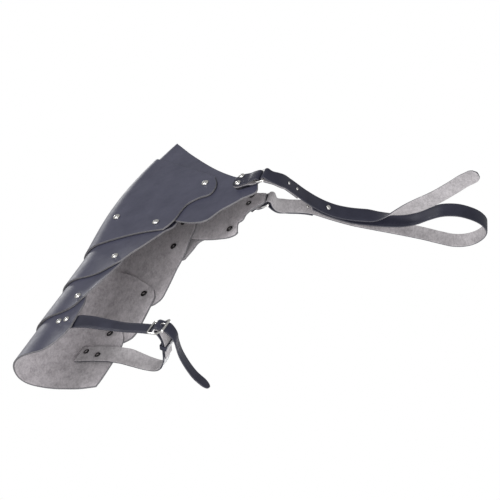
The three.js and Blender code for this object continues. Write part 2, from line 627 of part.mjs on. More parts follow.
// Keeper round the two layers of the buckle strap
const keeperWidth = 6;
const keeperDistance = 24;
const keeperLine = curve(buckleRoute.map(([d, y]) => new THREE.Vector3(d, y, 0)));
const keeperSpot = keeperLine.getPointAt(keeperDistance / keeperLine.getLength());
const keeperTangent = keeperLine.getTangentAt(keeperDistance / keeperLine.getLength());
const inArmPlane = (d, y) => depthAxis.clone().multiplyScalar(d).add(new THREE.Vector3(0, y, 0));
const keeperAlong = inArmPlane(keeperTangent.x, keeperTangent.y);
const keeperSide = inArmPlane(-keeperTangent.y, keeperTangent.x);
const rectangle = (halfX, halfY) => [[-halfX, -halfY], [halfX, -halfY], [halfX, halfY], [-halfX, halfY]]
  .map(([x, y]) => new THREE.Vector2(x, y));
const keeperHalfX = armWidth / 2 + 2 * gap;
const keeperHalfY = strapLeather + 4 * gap;
const keeperWall = 1.5;
const keeperShape = new THREE.Shape(rectangle(keeperHalfX + keeperWall, keeperHalfY + keeperWall));
keeperShape.holes.push(new THREE.Path(rectangle(keeperHalfX, keeperHalfY)));
const keeper = new THREE.ExtrudeGeometry(keeperShape, { depth: keeperWidth, bevelEnabled: false });
keeper.translate(0, 0, -keeperWidth / 2);
const keeperTurn = keeperSide.clone().cross(keeperAlong);
keeper.applyMatrix4(new THREE.Matrix4().makeBasis(keeperTurn, keeperSide, keeperAlong));
const keeperMid = armPoint(armShare, keeperSpot.x, keeperSpot.y)
  .addScaledVector(keeperSide, -(strapLeather + gap) / 2);
bodies.strap_keeper = keeper.translate(keeperMid.x, keeperMid.y, keeperMid.z);

// Tabs on the two horns of the neck plate, each with a wire ring in its fold
const frontTabShare = 0.035;
const backTabShare = 0.045;
const tabDepthShare = 0.958;
const tabTail = 9;
const tabSpread = 14;
const tabReachFront = 26;
const tabReachBack = 15;
const tabRise = 2.1;              // of a flat tab off the curved horn under it
const tabFlatShare = 0.45;        // of its reach in which a tab stays flat
const tabFlare = 6;               // by which a tab is wider at its rivets
const tabEndShare = 0.55;         // of its width at its cut end
const tabBow = 0.8;               // of the fold's radius where the upper layer eases down
const hornDown = new THREE.Vector3(-0.355, 0, -0.935);
function strapMount(label, side, tabShare, reach) {
  const turn = turnAt(tabShare, side * tabDepthShare * sideDepth);
  const foot = facePoint('neck_plate', tabShare, turn, 0);
  const out = outward(tabShare, turn);
  const across = hornDown.clone().addScaledVector(out, -out.dot(hornDown)).normalize();
  const along = across.clone().cross(out).multiplyScalar(side < 0 ? 1 : -1).normalize();
  if (along.x < 0) along.negate();
  const at = (a, o) => foot.clone().addScaledVector(along, a).addScaledVector(out, o);
  const lowLayer = gap + tabRise + strapLeather / 2;
  const highLayer = lowLayer + strapLeather + gap;
  const barHeight = (lowLayer + highLayer) / 2;
  const easing = foldEasing / 2;
  const flat = [[-tabTail, lowLayer], [0, lowLayer], [reach * tabFlatShare, lowLayer],
    [reach - easing, barHeight - foldRadius]];
  for (let k = 0; k <= foldSteps; k += 1) {
    const a = Math.PI * (k / foldSteps - 0.5);
    flat.push([reach + Math.cos(a) * foldRadius, barHeight + Math.sin(a) * foldRadius]);
  }
  flat.push([reach - easing, barHeight + foldRadius * tabBow], [reach * tabFlatShare, highLayer],
    [0, highLayer], [-tabTail, highLayer]);
  const points = flat.map(([a, o]) => at(a, o));
  const widths = flat.map(([a]) => {
    const f = Math.min(Math.max(a / reach, 0), 1);
    const full = tabWidth + tabFlare * (1 - f);
    return a <= -tabTail ? full * tabEndShare : full;
  });
  bodies[`strap_tab_${label}`] = ribbon(points, widths, points.map(() => across), strapLeather);
  const barMid = at(reach, barHeight);
  const strapMid = barMid.clone().addScaledVector(along, ringLength);
  const halfBar = chestWidth / 2 + wire + 3 * gap;
  const corner = (mid, e) => mid.clone().addScaledVector(across, e * halfBar);
  const corners = [corner(barMid, 1), corner(strapMid, 1), corner(strapMid, -1), corner(barMid, -1)];
  addMetal(`strap_ring_${label}`, wireBody(corners.map((c, i) => [c, corners[(i + 1) % 4]]), wire));
  [-1, 1].forEach((e, i) => {
    const shift = across.clone().multiplyScalar(e * tabSpread / 2);
    const top = at(0, highLayer + strapLeather / 2).add(shift);
    const under = at(0, -leather).add(shift);
    rivet(`rivet_tab_${label}_${i + 1}`, top, under, out, tabRivetHead, ['neck_plate', `strap_tab_${label}`]);
  });
  return { bar: strapMid, across };
}
const frontMount = strapMount('front', -1, frontTabShare, tabReachFront);
const backMount = strapMount('back', 1, backTabShare, tabReachBack);

// Chest strap: its two parts lie in one tilted plane through the front ring's bar
const strapTurn = 29.8 * degrees;
const strapTilt = 26.2 * degrees;
const run = new THREE.Vector3(Math.cos(strapTurn), Math.sin(strapTurn), 0);
const strapDown = new THREE.Vector3(-Math.sin(strapTilt) * Math.sin(strapTurn),
  Math.sin(strapTilt) * Math.cos(strapTurn), -Math.cos(strapTilt));
const toward = strapDown.clone().cross(run);
const scaled = (route) => route.map(([x, y]) => [x * strapReach, y * loopFall]);
// Shares of the strap's reach and of the loop's fall
const billetRoute = scaled([[0, 0], [0.05, -0.022], [0.111, -0.164], [0.18, -0.342],
  [0.248, -0.483], [0.311, -0.571], [0.374, -0.618], [0.441, -0.641], [0.5, -0.653],
  [0.56, -0.623], [0.6, -0.583], [0.64, -0.53], [0.674, -0.483], [0.755, -0.35],
  [0.837, -0.178], [0.874, -0.093], [0.915, -0.02], [0.935, 0.035]]);
const billetReturn = 56;
const loopReturn = 66;
const studDistance = 106;
const loopLeaves = 122;           // distance where the loop starts to leave the front part
const loopLeaving = 0.15;         // its slope there
const flatCurve = (route) => curve(route.map(([x, y]) => new THREE.Vector3(x, y, 0)));
const billetLine = flatCurve(billetRoute);
// Point beside the front part's line, at a distance along it
function besideBillet(distance, shift) {
  const share = distance / billetLine.getLength();
  const p = billetLine.getPointAt(share);
  const t = billetLine.getTangentAt(share);
  return [p.x - t.y * shift, p.y + t.x * shift];
}
const backOffset = backMount.bar.clone().sub(frontMount.bar);
const loopStart = [backOffset.dot(run), backOffset.dot(toward)];
const loopRoute = [loopStart, ...scaled([[0.09, -0.395], [0.15, -0.46],
  [0.215, -0.53], [0.285, -0.61], [0.374, -0.7], [0.441, -0.75], [0.559, -0.83],
  [0.693, -0.926], [0.778, -1], [0.837, -1.043], [0.889, -1.04], [0.935, -0.995],
  [0.97, -0.91], [0.983, -0.82], [0.972, -0.74], [0.945, -0.665], [0.905, -0.605],
  [0.852, -0.56], [0.785, -0.56], [0.73, -0.61], [0.667, -0.69], [0.611, -0.725],
  [0.559, -0.73]])];
const studLay = strapLeather + 4 * gap;
// Distances along the front part at which the loop's end lies beside it
const besideDistances = [150, 136, 121, studDistance, 92, 82];
for (const distance of besideDistances) {
  loopRoute.push(besideBillet(distance, -studLay - loopLeaving * Math.max(distance - loopLeaves, 0)));
}
const loopLine = flatCurve(loopRoute);
// Place on a chest strap: near its ring it turns square to the ring's bar
const blendLength = 30;
const liftLength = 70;            // over which it reaches the common plane
const twistStart = 148;           // of the free end, from the ring
const twistLength = 50;
const freeEndTwist = -115 * degrees;
const chestStep = 9;              // between the sections of a chest strap
const billetTip = 10;             // length of the free end's rounded point
const loopTip = 3;
function strapPlace(mount, start, [x, y]) {
  const away = Math.hypot(x - start[0], y - start[1]);
  const f = Math.min(away / blendLength, 1);
  const blend = f * f * (3 - 2 * f);
  const barSide = mount.across.clone().multiplyScalar(Math.sign(mount.across.dot(strapDown)));
  const turn = new THREE.Quaternion().setFromUnitVectors(strapDown, barSide)
    .slerp(new THREE.Quaternion(), blend);
  const g = Math.min(away / liftLength, 1);
  const lift = frontMount.bar.clone().sub(mount.bar).dot(strapDown) * g * g * (3 - 2 * g);
  const point = run.clone().multiplyScalar(x - start[0]).addScaledVector(toward, y - start[1])
    .applyQuaternion(turn).add(mount.bar).addScaledVector(strapDown, lift);
  return { point, side: strapDown.clone().applyQuaternion(turn), turn, away };
}
function chestRibbon(name, route, mount, returnLength, tipLength, twist) {
  const places = folded(route, returnLength, chestStep).map((p) => strapPlace(mount, route[0], p));
  const points = places.map((place) => place.point);
  const widths = pointed(points, chestWidth, tipLength);
  const sides = places.map((place, i) => {
    const along = points[Math.min(i + 1, points.length - 1)].clone()
      .sub(points[Math.max(i - 1, 0)]).normalize();
    const f = Math.min(Math.max((place.away - twistStart) / twistLength, 0), 1);
    return place.side.applyAxisAngle(along, twist * f * f * (3 - 2 * f));
  });
  bodies[name] = ribbon(points, widths, sides, strapLeather);
}
chestRibbon('chest_strap_billet', billetRoute, frontMount, billetReturn, billetTip, freeEndTwist);
chestRibbon('chest_strap_loop', loopRoute, backMount, loopReturn, loopTip, 0);

// Small rivets and the stud of the chest strap
function strapFastener(name, line, mount, distance, below, head, leathers) {
  const share = distance / line.getLength();
  const start = line.getPointAt(0);
  const p = line.getPointAt(share);
  const t = line.getTangentAt(share);
  const place = strapPlace(mount, [start.x, start.y], [p.x, p.y]);
  const along = run.clone().multiplyScalar(t.x).addScaledVector(toward, t.y).applyQuaternion(place.turn);
  const normal = place.side.clone().cross(along).normalize();
  const outer = place.point.clone().addScaledVector(normal, strapLeather / 2);
  const inner = place.point.clone().addScaledVector(normal, -below - strapLeather / 2);
  rivet(name, outer, inner, normal, head, leathers);
}
const foldLay = strapLeather + gap;
const billetFoldDistances = [34, 50];
const loopFoldDistance = 58;
billetFoldDistances.forEach((distance, i) => strapFastener(`rivet_billet_fold_${i + 1}`, billetLine,
  frontMount, distance, foldLay, foldHead, ['chest_strap_billet']));
strapFastener('rivet_loop_fold', loopLine, backMount, loopFoldDistance, foldLay, foldHead,
  ['chest_strap_loop']);
strapFastener('chest_stud', billetLine, frontMount, studDistance, studLay + gap, smallHead,
  ['chest_strap_billet', 'chest_strap_loop']);

// Leather pieces with their holes
for (const [name, geometry] of Object.entries(bodies)) {
  let solid = solidOf(geometry);
  for (const tool of holes[name] ?? []) solid = solid.subtract(solidOf(tool));
  addMesh(name, geometryOf(solid), name in plates ? hairSide : fleshSide, 0.6, 0);
}

export default part;
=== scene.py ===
"""Leather pauldron for the right shoulder: the finished leather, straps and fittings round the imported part.

Lengths below are in millimetres in the part's own frame and become metres when a mesh is made.
Shapes are grids or swept sections worked out as whole arrays.
"""
import math

import bpy
import numpy as np
from mathutils import Matrix, Vector


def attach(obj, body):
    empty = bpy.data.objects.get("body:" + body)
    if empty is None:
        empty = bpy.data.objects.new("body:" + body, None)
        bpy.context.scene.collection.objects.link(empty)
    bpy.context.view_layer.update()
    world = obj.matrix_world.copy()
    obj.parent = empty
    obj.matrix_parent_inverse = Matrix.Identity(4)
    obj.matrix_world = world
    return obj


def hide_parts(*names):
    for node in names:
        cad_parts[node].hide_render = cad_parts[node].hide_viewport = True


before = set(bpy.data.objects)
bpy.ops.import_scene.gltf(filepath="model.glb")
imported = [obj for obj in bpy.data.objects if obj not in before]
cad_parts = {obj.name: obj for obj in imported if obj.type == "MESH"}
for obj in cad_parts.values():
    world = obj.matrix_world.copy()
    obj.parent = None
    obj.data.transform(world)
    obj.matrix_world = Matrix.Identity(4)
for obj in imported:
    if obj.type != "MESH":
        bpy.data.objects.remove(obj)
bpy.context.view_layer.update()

MM = 0.001

# Driving dimensions of the leather
ridge_length = 437
side_depth = 225
belly_half = 36
edge_half = 41
bend_depth = 62
leather = 2.4
strap_leather = 2.2
gap = 0.3
plate_gap = 0.5
seat_height = 60

# Driving dimensions of the fittings
rivet_head = 4.5
rivet_dome = 2.4
rivet_tail = 4.4
rivet_tail_height = 1.1
rivet_shank = 1.9
rivet_seat = 0.6
small_head = 3.2
wire = 1.4
ring_length = 10
chest_width = 18
tab_width = 18
arm_root = 26
arm_width = 16
buckle_length = 24
strap_reach = 270
loop_fall = 136
arm_reach = 228
arm_spread = 49
strap_rivet_head = 4.05
tab_rivet_head = 3.83
fold_head = 1.92

# Crown line and sections at equal steps from the neck to the arm
crown_slope = [42, 46, 52, 60, 67, 68, 63, 60, 59, 59, 60]
section_lean = [29, 34, 39, 44, 48, 51, 53, 55, 57, 58, 59]
belly_share = [0.25, 0.42, 0.56, 0.67, 0.75, 0.83, 0.92, 0.97, 1, 1, 1]
edge_share = [0.36, 0.39, 0.44, 0.51, 0.63, 0.78, 0.9, 0.98, 1, 1, 1]
bend_share = [0.17, 0.32, 0.45, 0.55, 0.61, 0.68, 0.74, 0.81, 0.87, 0.94, 1]
full_share = [1, 0.96, 0.89, 0.8, 0.71, 0.64, 0.6, 0.56, 0.52, 0.5, 0.48]

# Outlines of the plates: top and hem as [share of side depth, share of crown line] with the
# front negative, side edges as [share of crown line, share of side depth]
plates = {
    "neck_plate": {
        "top": [[-1.05, -0.03], [-0.94, 0], [-0.8, 0.018], [-0.6, 0.023], [-0.28, 0.012], [0, 0],
                [0.28, 0.012], [0.6, 0.023], [0.8, 0.018], [0.94, 0], [1.05, -0.03]],
        "hem": [[-0.86, 0.335], [-0.78, 0.347], [-0.66, 0.343], [-0.4, 0.325], [0, 0.31],
                [0.4, 0.315], [0.64, 0.317], [0.76, 0.313], [0.86, 0.303], [0.95, 0.287],
                [0.99, 0.268]],
        "front": [[-0.03, 1.05], [0.037, 1.12], [0.117, 1.044], [0.163, 1.01], [0.233, 0.947],
                  [0.31, 0.898], [0.335, 0.86]],
        "back": [[-0.03, 1.05], [0.023, 1.085], [0.077, 1.031], [0.127, 0.997], [0.167, 0.995],
                 [0.19, 0.972], [0.22, 0.985], [0.25, 1.0], [0.268, 0.99]],
    },
    "shoulder_cap": {
        "top": [[-0.68, 0.063], [-0.38, 0.073], [0, 0.085], [0.38, 0.078], [0.68, 0.12],
                [0.88, 0.18], [0.97, 0.222]],
        "hem": [[-0.61, 0.413], [-0.47, 0.433], [-0.36, 0.453], [-0.245, 0.477], [-0.147, 0.498],
                [0, 0.522], [0.147, 0.498], [0.245, 0.477], [0.36, 0.453], [0.47, 0.433],
                [0.61, 0.405]],
        "front": [[0.063, 0.68], [0.09, 0.745], [0.125, 0.775], [0.163, 0.77], [0.197, 0.71],
                  [0.243, 0.66], [0.287, 0.65], [0.337, 0.65], [0.38, 0.635], [0.413, 0.61]],
        "back": [[0.222, 0.97], [0.245, 0.985], [0.265, 0.95], [0.28, 0.86], [0.295, 0.76],
                 [0.32, 0.69], [0.36, 0.655], [0.405, 0.61]],
    },
    "upper_lame": {
        "top": [[-0.6, 0.232], [-0.55, 0.218], [-0.35, 0.225], [0, 0.25], [0.35, 0.225],
                [0.56, 0.218], [0.62, 0.232]],
        "hem": [[-0.45, 0.592], [-0.387, 0.62], [-0.324, 0.643], [-0.218, 0.657], [0, 0.668],
                [0.218, 0.657], [0.324, 0.643], [0.41, 0.62], [0.49, 0.596]],
        "front": [[0.232, 0.6], [0.27, 0.63], [0.31, 0.635], [0.35, 0.65], [0.407, 0.62],
                  [0.497, 0.551], [0.55, 0.49], [0.592, 0.45]],
        "back": [[0.232, 0.62], [0.27, 0.637], [0.31, 0.635], [0.36, 0.63], [0.41, 0.605],
                 [0.463, 0.573], [0.537, 0.542], [0.575, 0.525], [0.596, 0.49]],
    },
    "middle_lame": {
        "top": [[-0.42, 0.54], [-0.36, 0.522], [-0.25, 0.492], [0, 0.475], [0.25, 0.492],
                [0.38, 0.522], [0.46, 0.545]],
        "hem": [[-0.352, 0.757], [-0.32, 0.79], [-0.262, 0.81], [-0.182, 0.822], [0, 0.828],
                [0.182, 0.804], [0.28, 0.787], [0.36, 0.772], [0.42, 0.757]],
        "front": [[0.54, 0.42], [0.57, 0.44], [0.6, 0.442], [0.65, 0.428], [0.69, 0.409],
                  [0.735, 0.37], [0.757, 0.352]],
        "back": [[0.545, 0.46], [0.573, 0.484], [0.61, 0.48], [0.663, 0.474], [0.717, 0.47],
                 [0.74, 0.455], [0.757, 0.42]],
    },
    "lower_lame": {
        "top": [[-0.325, 0.725], [-0.28, 0.708], [-0.18, 0.695], [0, 0.69], [0.18, 0.695],
                [0.33, 0.706], [0.385, 0.722]],
        "hem": [[-0.42, 0.925], [-0.396, 0.945], [-0.369, 0.96], [-0.307, 0.977], [-0.213, 0.982],
                [-0.093, 0.976], [0, 0.968], [0.093, 0.956], [0.213, 0.951], [0.32, 0.955],
                [0.43, 0.945]],
        "front": [[0.725, 0.325], [0.75, 0.352], [0.775, 0.38], [0.8, 0.396], [0.833, 0.405],
                  [0.87, 0.417], [0.9, 0.428], [0.925, 0.42]],
        "back": [[0.722, 0.385], [0.745, 0.415], [0.775, 0.433], [0.83, 0.44], [0.88, 0.44],
                 [0.92, 0.437], [0.945, 0.43]],
    },
}

# Rivets through the plates: outer plate, inner plate, share of crown line, share of side depth
plate_rivets = [
    ("rivet_cap_lobe_front", "shoulder_cap", "neck_plate", 0.113, -0.662),
    ("rivet_cap_lobe_back", "shoulder_cap", "neck_plate", 0.24, 0.93),
    ("rivet_cap_middle_front", "shoulder_cap", "upper_lame", 0.365, -0.185),
    ("rivet_cap_middle_back", "shoulder_cap", "upper_lame", 0.365, 0.185),
    ("rivet_cap_side_front", "shoulder_cap", "upper_lame", 0.377, -0.524),
    ("rivet_cap_side_back", "shoulder_cap", "upper_lame", 0.363, 0.52),
    ("rivet_neck_inner_back", "shoulder_cap", "upper_lame", 0.25, 0.52),
    ("rivet_upper_front", "upper_lame", "middle_lame", 0.565, -0.373),
    ("rivet_upper_back", "upper_lame", "middle_lame", 0.565, 0.404),
    ("rivet_middle_front", "middle_lame", "lower_lame", 0.748, -0.3),
    ("rivet_middle_back", "middle_lame", "lower_lame", 0.735, 0.316),
]
arm_strap_rivets = [(0.853, -0.28), (0.853, -0.34)]
buckle_strap_rivets = [(0.815, 0.245), (0.83, 0.335)]

pitch = leather + plate_gap
right_angle = math.pi / 2

# Readings of the shell: the share of the flare that goes on past the full depth, the step that finds a
# direction, the rounds that find an edge, the share of the crown line that the upper lame is tucked in, and
# the turn where a flank starts
crown_steps = 240
flare_on = 0.3
probe = 0.004
edge_rounds = 6
tucked_in = 0.03
flank_turn = 1.2

# Squares of a plate: down the arm, over its crown and down each side
plate_rows = 44
crown_columns = 72
side_columns = 34
edge_rounding = 0.45
edge_segments = 2
edge_angle = 55

# Largest angle, in degrees, that is shaded as smooth
sheet_smooth = 50
strap_smooth = 62
wire_smooth = 45
rivet_smooth = 40

# Smallest lengths that are divided by
least_vector = 1e-12
least_span = 1e-6


# Lines and surfaces of the shell

def through(table, x):
    """Value through a table of points at x: a cubic between two points with the slope at each taken from its
    two neighbours, and a straight line beyond the first and last point."""
    points = np.asarray(table, float)
    px, py = points[:, 0], points[:, 1]
    order = np.arange(len(px))
    ahead = np.minimum(order + 1, len(px) - 1)
    behind = np.maximum(order - 1, 0)
    slope = (py[ahead] - py[behind]) / (px[ahead] - px[behind])
    x = np.asarray(x, float)
    i = np.clip(np.searchsorted(px, x, side="left") - 1, 0, len(px) - 2)
    h = px[i + 1] - px[i]
    t = np.clip((x - px[i]) / h, 0, 1)
    inside = ((2 * t**3 - 3 * t**2 + 1) * py[i] + (t**3 - 2 * t**2 + t) * h * slope[i]
              + (3 * t**2 - 2 * t**3) * py[i + 1] + (t**3 - t**2) * h * slope[i + 1])
    return inside + slope[0] * np.minimum(x - px[0], 0) + slope[-1] * np.maximum(x - px[-1], 0)


def even_table(values, scale):
    """Points of a table at equal steps from 0 to 1, each value times the scale."""
    return [(i / (len(values) - 1), v * scale) for i, v in enumerate(values)]


slopes = even_table(crown_slope, math.radians(1))
leans = even_table(section_lean, math.radians(1))
bellies = even_table(belly_share, belly_half)
edges = even_table(edge_share, edge_half)
bends = even_table(bend_share, bend_depth)
fulls = even_table(full_share, side_depth)

crown_shares = np.linspace(-0.1, 1.1, crown_steps + 1)
crown_step = crown_shares[1] - crown_shares[0]
step_slopes = through(slopes, crown_shares[:-1] + crown_step / 2)
crown_x = np.concatenate([[0], -np.cumsum(np.cos(step_slopes)) * crown_step * ridge_length])
crown_z = np.concatenate([[0], -np.cumsum(np.sin(step_slopes)) * crown_step * ridge_length])


def crown_at(s):
    """Place on the crown line at a share of its length: the sum of short steps down its slope."""
    return np.interp(s, crown_shares, crown_x), np.interp(s, crown_shares, crown_z)


seat_share = seat_height / ridge_length
seat_lean = float(through(leans, seat_share))
origin_x = float(crown_at(seat_share)[0]) + math.sin(seat_lean) * (pitch + leather)
origin_z = float(crown_at(seat_share)[1]) - math.cos(seat_lean) * (pitch + leather)


def turn_at(s, depth):
    """Turn round the crown where a section reaches a depth: the angle of a quarter circle in the bend, in
    right angles, and past it the length down the side in the same measure."""
    bend = through(bends, s)
    d = np.abs(depth)
    in_bend = np.arccos(np.clip(1 - d / bend, -1, 1)) / right_angle
    return np.sign(depth) * np.where(d < bend, in_bend, 1 + (d - bend) / (bend * right_angle))


def depth_at(s, turn):
    """Depth below the crown line at a turn: the inverse of turn_at, signed as the turn is."""
    bend = through(bends, s)
    t = np.abs(turn)
    depth = np.where(t < 1, bend * (1 - np.cos(np.minimum(t, 1) * right_angle)),
                     bend + (t - 1) * bend * right_angle)
    return np.sign(turn) * depth


def base_point(s, turn):
    """Point of the outermost surface: from the crown line a section leans down and widens as the sine of the
    turn to its belly, then eases out or in to the half width of the free edge."""
    s, turn = np.broadcast_arrays(np.asarray(s, float), np.asarray(turn, float))
    x, z = crown_at(s)
    d = np.abs(depth_at(s, turn))
    bend = through(bends, s)
    belly = through(bellies, s)
    q = np.maximum((d - bend) / (through(fulls, s) - bend), 0)
    widen = np.where(q < 1, q * q * (3 - 2 * q), 1 + flare_on * (q - 1))
    round_half = belly * np.sin(np.minimum(np.abs(turn), 1) * right_angle)
    half = round_half + (through(edges, s) - belly) * widen
    lean = through(leans, s)
    return np.stack([x + np.sin(lean) * d - origin_x, np.sign(turn) * half,
                     z - np.cos(lean) * d - origin_z], axis=-1)


def unit(v):
    """Vectors divided by their lengths."""
    return v / np.maximum(np.linalg.norm(v, axis=-1, keepdims=True), least_vector)


def smooth_step(x):
    """0 below 0, 1 above 1 and an even S between."""
    x = np.clip(x, 0, 1)
    return x * x * (3 - 2 * x)


def spun(vectors, axes, angles):
    """Vectors turned about axes by angles, by the rule of the cross and dot products."""
    c = np.cos(angles)[:, None]
    s = np.sin(angles)[:, None]
    dot = np.sum(axes * vectors, axis=1, keepdims=True)
    return vectors * c + np.cross(axes, vectors) * s + axes * dot * (1 - c)


def outward(s, turn):
    """Outward direction of the surface: the cross product of its directions around and down the crown."""
    around = base_point(s, turn + probe) - base_point(s, turn - probe)
    down = base_point(s + probe, turn) - base_point(s - probe, turn)
    return unit(np.cross(around, down))


def hem_share(name, d):
    """Share of the crown line where a plate's hem lies at a share of the side depth."""
    return through(plates[name]["hem"], d)


def upper_layer(s, d):
    """Layer of the upper lame: two below the cap, one below it at the cap's hem, none at its own hem."""
    cap = hem_share("shoulder_cap", d)
    own = hem_share("upper_lame", d)
    under = hem_share("neck_plate", d) + tucked_in
    rising = -1 + np.minimum((s - cap) / (own - cap), 1)
    tucked = -1 - np.minimum((cap - s) / (cap - under), 1)
    return np.where(s > cap, rising, tucked)


def middle_layer(s, d):
    """Layer of the middle lame: one below the upper lame, rising to the outside at its own hem."""
    above = hem_share("upper_lame", d)
    rising = -1 + np.minimum((s - above) / (hem_share("middle_lame", d) - above), 1)
    return np.where(s < above, upper_layer(s, d) - 1, rising)


def lower_layer(s, d):
    """Layer of the lower lame: one below the middle lame, rising to the outside at its own hem."""
    above = hem_share("middle_lame", d)
    rising = -1 + np.minimum((s - above) / (hem_share("lower_lame", d) - above), 1)
    return np.where(s < above, middle_layer(s, d) - 1, rising)


layer_of = {
    "shoulder_cap": lambda s, d: np.zeros_like(s),
    "neck_plate": lambda s, d: -np.ones_like(s),
    "upper_lame": upper_layer,
    "middle_lame": middle_layer,
    "lower_lame": lower_layer,
}


def face_point(name, s, turn, below):
    """Point of a plate below its outer face: the surface point moved along outward by the plate's layer."""
    s, turn = np.broadcast_arrays(np.asarray(s, float), np.asarray(turn, float))
    layer = layer_of[name](s, depth_at(s, turn) / side_depth)
    return base_point(s, turn) + outward(s, turn) * (layer * pitch - below)[..., None]


def edge_at(table, turn):
    """Share of the crown line where an edge across the crown meets a turn, found by repeated substitution."""
    s = through(table, 0) + np.zeros_like(np.asarray(turn, float))
    for _ in range(edge_rounds):
        s = through(table, depth_at(s, turn) / side_depth)
    return s


def flank(plate, side, f, u):
    """Flank of a plate between its four edges: the two blends of opposite edges less the blend of the
    corners. f runs from the top to the hem and u from the crown to the side edge."""
    edge = plate["front"] if side < 0 else plate["back"]
    first_s, first_share = edge[0]
    last_s, last_share = edge[-1]
    inner = side * flank_turn
    top_inner = float(edge_at(plate["top"], inner))
    hem_inner = float(edge_at(plate["hem"], inner))
    corners = np.array([
        [top_inner, float(depth_at(top_inner, inner))], [first_s, side * first_share * side_depth],
        [hem_inner, float(depth_at(hem_inner, inner))], [last_s, side * last_share * side_depth]])

    def across(table, start, end):
        """Share and depth along the top or the hem, from one corner to the other."""
        depth = start[1] + u * (end[1] - start[1])
        return [through(table, depth / side_depth), depth]

    top = across(plate["top"], corners[0], corners[1])
    hem = across(plate["hem"], corners[2], corners[3])
    inner_s = top_inner + f * (hem_inner - top_inner)
    inner_side = [inner_s, depth_at(inner_s, inner)]
    outer_s = first_s + f * (last_s - first_s)
    outer_side = [outer_s, side * through(edge, outer_s) * side_depth]
    s, depth = [(1 - f) * top[k] + f * hem[k] + (1 - u) * inner_side[k] + u * outer_side[k]
                - (1 - f) * ((1 - u) * corners[0][k] + u * corners[1][k])
                - f * ((1 - u) * corners[2][k] + u * corners[3][k]) for k in (0, 1)]
    return s, turn_at(s, depth)


def plate_grid(name, rows, columns, flank_columns):
    """Grid of crown shares and turns of a plate: fixed turns over the crown, then a flank to each side
    edge."""
    plate = plates[name]
    f = np.linspace(0, 1, rows + 1)[:, None]
    u = np.linspace(0, 1, flank_columns + 1)[None, 1:]
    front_s, front_turn = flank(plate, -1, f, u)
    back_s, back_turn = flank(plate, 1, f, u)
    turn = flank_turn * np.linspace(-1, 1, columns + 1)[None, :]
    top = edge_at(plate["top"], turn)
    middle_s = top + f * (edge_at(plate["hem"], turn) - top)
    middle_turn = turn + 0 * f
    return (np.hstack([front_s[:, ::-1], middle_s, back_s]),
            np.hstack([front_turn[:, ::-1], middle_turn, back_turn]))


# Meshes

def make_object(name, points, faces, materials, kinds, smooth_angle):
    """Mesh object from points in millimetres, with a material number for each face."""
    mesh = bpy.data.meshes.new(name)
    mesh.from_pydata((points * MM).tolist(), [], faces)
    for material in materials:
        mesh.materials.append(material)
    mesh.polygons.foreach_set("material_index", np.asarray(kinds, np.int32))
    mesh.polygons.foreach_set("use_smooth", np.ones(len(faces), bool))
    mesh.update()
    mesh.set_sharp_from_angle(angle=math.radians(smooth_angle))
    obj = bpy.data.objects.new(name, mesh)
    bpy.context.scene.collection.objects.link(obj)
    return obj


def grid_faces(rows, columns, start, turned_over):
    """Squares between neighbouring points of a grid whose first point has the number start."""
    i, j = np.meshgrid(np.arange(rows - 1), np.arange(columns - 1), indexing="ij")
    a = start + i * columns + j
    corners = [a, a + 1, a + columns + 1, a + columns]
    if turned_over:
        corners = corners[::-1]
    return np.stack(corners, axis=-1).reshape(-1, 4)


def rim_numbers(rows, columns):
    """Numbers of a grid's border points, once round."""
    top = np.arange(columns)
    right = np.arange(1, rows) * columns + columns - 1
    bottom = (rows - 1) * columns + np.arange(columns - 2, -1, -1)
    left = np.arange(rows - 2, 0, -1) * columns
    return np.concatenate([top, right, bottom, left])


def closed_sheet(name, outer, inner, materials, smooth_angle):
    """Body between two equal grids, the first one outside: both grids, the second turned over, and a wall
    of squares between their borders. Outer face, inner face and wall take materials 0, 1 and 2."""
    rows, columns = outer.shape[:2]
    half = rows * columns
    points = np.concatenate([outer.reshape(-1, 3), inner.reshape(-1, 3)])
    rim = rim_numbers(rows, columns)
    ahead = np.roll(rim, -1)
    wall = np.stack([ahead, rim, rim + half, ahead + half], axis=-1)
    faces = [grid_faces(rows, columns, 0, False), grid_faces(rows, columns, half, True), wall]
    kinds = np.concatenate([np.full(len(f), k) for k, f in enumerate(faces)])
    return make_object(name, points, np.concatenate(faces).tolist(), materials, kinds, smooth_angle)


def bevelled(obj):
    """Small rounding along the sharp edges of a plate."""
    modifier = obj.modifiers.new("cut_edge", "BEVEL")
    modifier.width = edge_rounding * MM
    modifier.segments = edge_segments
    modifier.limit_method = "ANGLE"
    modifier.angle_limit = math.radians(edge_angle)
    modifier.harden_normals = False
    return obj


nearly_upright = 0.9


def frame_of(axis):
    """Two directions square to an axis and to each other, and the axis at unit length."""
    axis = unit(np.asarray(axis, float))
    helper = np.array([0.0, 0, 1]) if abs(axis[2]) < nearly_upright else np.array([1.0, 0, 0])
    a = unit(np.cross(helper, axis))
    return a, np.cross(axis, a), axis


def ring_faces(low, high, sides):
    """Squares between two rings of points whose first points have the numbers low and high."""
    around = np.arange(sides)
    after = (around + 1) % sides
    return np.stack([low + around, low + after, high + after, high + around], axis=-1).tolist()


